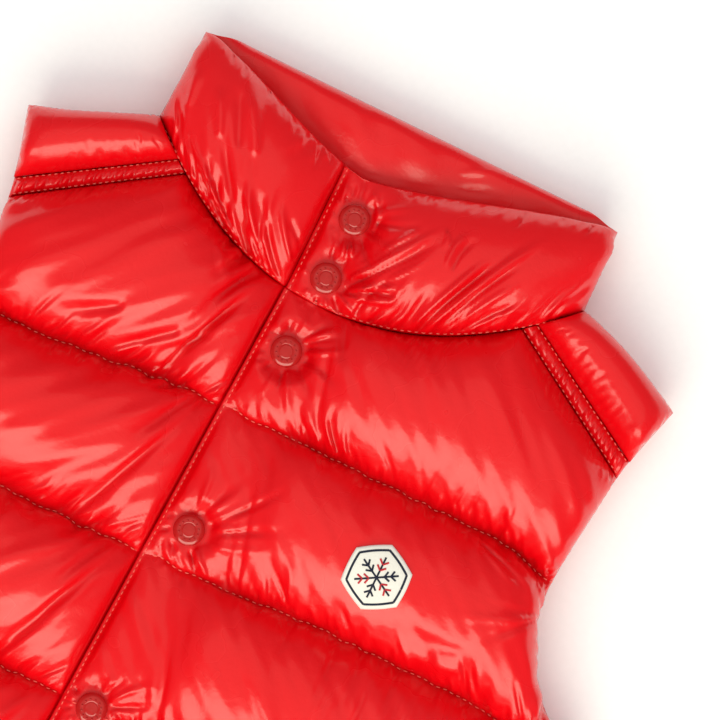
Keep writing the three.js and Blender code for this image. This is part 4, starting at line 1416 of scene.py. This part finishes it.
class VEST_OT_studio(Operator):
    """A pale floor, soft studio light and the camera straight above"""
    bl_idname = "vest.studio"
    bl_label = "Studio"

    def execute(self, context):
        scene = context.scene
        studio = scene.vest_studio
        scene.view_settings.view_transform = "Standard"
        bpy.ops.mesh.primitive_plane_add(size=6)
        floor = context.object
        floor.name = "floor"
        floor.data.materials.append(floor_paper())
        world = scene.world or bpy.data.worlds.new("studio_air")
        scene.world = world
        world.use_nodes = True
        world.node_tree.nodes["Background"].inputs["Color"].default_value = (1, 1, 1, 1)
        world.node_tree.nodes["Background"].inputs["Strength"].default_value = studio.air
        world.cycles_visibility.glossy = False
        turn = studio.turn
        target = Vector((studio.look_x * MM, (studio.look_y + DATUM_Y) * MM, 0.025))
        lens = bpy.data.cameras.new("above")
        lens.sensor_width = 36
        lens.lens = 36 * studio.height / (studio.view_width * MM)
        camera = bpy.data.objects.new("above", lens)
        scene.collection.objects.link(camera)
        above_it = Matrix.Translation(target + Vector((0, 0, studio.height)))
        camera.matrix_world = above_it @ Matrix.Rotation(turn, 4, "Z")
        scene.camera = camera
        across = Vector((math.cos(turn), math.sin(turn), 0))
        up = Vector((-math.sin(turn), math.cos(turn), 0))
        lights = (
            ("key_softbox", -0.25, -1.05, 0.95, 1.5, 0.95, studio.key),
            ("overhead_softbox", 0.1, 0.15, 1.5, 1.5, 1.5, studio.overhead),
        )
        for name, right, above, high, wide, deep, power in lights:
            light = bpy.data.lights.new(name, "AREA")
            light.shape = "RECTANGLE"
            light.size = wide
            light.size_y = deep
            light.energy = power
            light.color = WARM_WHITE
            lamp = bpy.data.objects.new(name, light)
            place = target + across * right + up * above + Vector((0, 0, high))
            aim = (target - place).to_track_quat("-Z", "Y")
            lamp.matrix_world = Matrix.Translation(place) @ aim.to_matrix().to_4x4()
            scene.collection.objects.link(lamp)
        return {"FINISHED"}


def color_property(name, description, default):
    """A colour setting."""
    return FloatVectorProperty(
        name=name, description=description, subtype="COLOR", default=default, min=0, max=1
    )


def share_property(name, description, default):
    """A setting from 0 to 1."""
    return FloatProperty(name=name, description=description, default=default, min=0, max=1)


class VestSizes(PropertyGroup):
    """The filling, the cloth's slack and the stitches. Lengths are in millimetres."""
    filling: FloatProperty(name="Filling", description="Height of a crown", default=15, min=6, max=20)
    slack: share_property("Slack", "Share by which the cloth is longer than its filled shape", 0.03)
    stitch_pitch: FloatProperty(name="Stitch pitch", description="Between stitches", default=3.2, min=1.5)
    stitch_length: FloatProperty(name="Stitch length", description="Length of a stitch", default=1.8, min=0.5)
    thread_radius: FloatProperty(name="Thread radius", description="Its radius", default=0.25, min=0.1)


class VestLook(PropertyGroup):
    """Colours and finishes."""
    shell: color_property("Shell", "The nylon's red", (0.74, 0.0, 0.004))
    shell_roughness: share_property("Shell roughness", "Roughness under the film", 0.27)
    shell_film: share_property("Film", "Strength of the clear film", 0.35)
    film_roughness: share_property("Film roughness", "Roughness of the film", 0.12)
    seam_thread: color_property("Thread", "The sewing thread", (1.0, 0.15, 0.11))
    enamel: color_property("Enamel", "The snap caps' red", (0.5, 0.008, 0.008))
    felt: color_property("Felt", "The badge's felt", (0.83, 0.8, 0.72))
    navy: color_property("Navy", "Dark embroidery thread", (0.01, 0.016, 0.05))
    scarlet: color_property("Scarlet", "Red embroidery thread", (0.65, 0.02, 0.03))


class VestStudio(PropertyGroup):
    """The camera and the lights. view_width, look_x and look_y are in millimetres, from the second snap."""
    turn: FloatProperty(
        name="Turn", description="The camera's turn", subtype="ANGLE", default=math.radians(26)
    )
    height: FloatProperty(name="Height", description="The camera's height", unit="LENGTH", default=1.7)
    view_width: FloatProperty(name="View width", description="Width of the view at the vest", default=313)
    look_x: FloatProperty(name="Look at x", description="Middle of the view", default=23.3)
    look_y: FloatProperty(name="Look at y", description="Middle of the view", default=-25.4)
    air: FloatProperty(name="Air", description="Strength of the even light from all round", default=0.86)
    key: FloatProperty(name="Key", description="Power of the softbox beyond the hem", default=15.0)
    overhead: FloatProperty(name="Overhead", description="Power of the softbox overhead", default=2.2)


def shared_material(name):
    """One of the vest's materials, made when it is first asked for."""
    made = bpy.data.materials.get(name)
    look = bpy.context.scene.vest_look
    makers = {"shell_cloth": shell_cloth, "snap_enamel": snap_enamel, "badge_felt": badge_felt}
    colors = {"seam_thread": look.seam_thread, "navy_thread": look.navy, "scarlet_thread": look.scarlet}
    if made is None and name in makers:
        made = makers[name](look)
    elif made is None:
        made = thread(name, tuple(colors[name]))
    return made


OPERATORS = (
    VEST_OT_back,
    VEST_OT_fronts,
    VEST_OT_collar,
    VEST_OT_shoulders,
    VEST_OT_stitching,
    VEST_OT_snaps,
    VEST_OT_badge,
    VEST_OT_studio,
)


class VEST_PT_pieces(Panel):
    """Lists the vest's pieces and settings"""
    bl_idname = "VEST_PT_pieces"
    bl_label = "Vest"
    bl_space_type = "VIEW_3D"
    bl_region_type = "UI"
    bl_category = "Vest"

    def draw(self, context):
        scene = context.scene
        for group in (scene.vest_sizes, scene.vest_look, scene.vest_studio):
            for name in group.__annotations__:
                self.layout.prop(group, name)
        for made in OPERATORS:
            self.layout.operator(made.bl_idname)


CLASSES = (VestSizes, VestLook, VestStudio) + OPERATORS + (VEST_PT_pieces,)


def register():
    for made in CLASSES:
        bpy.utils.register_class(made)
    bpy.types.Scene.vest_sizes = PointerProperty(type=VestSizes)
    bpy.types.Scene.vest_look = PointerProperty(type=VestLook)
    bpy.types.Scene.vest_studio = PointerProperty(type=VestStudio)


def unregister():
    del bpy.types.Scene.vest_studio
    del bpy.types.Scene.vest_look
    del bpy.types.Scene.vest_sizes
    for made in reversed(CLASSES):
        bpy.utils.unregister_class(made)


def main():
    """Makes every piece in order."""
    register()
    bpy.ops.vest.back()
    bpy.ops.vest.fronts()
    bpy.ops.vest.collar()
    bpy.ops.vest.shoulders()
    bpy.ops.vest.stitching()
    bpy.ops.vest.snaps()
    bpy.ops.vest.badge()
    bpy.ops.vest.studio()


if __name__ == "__main__":
    main()
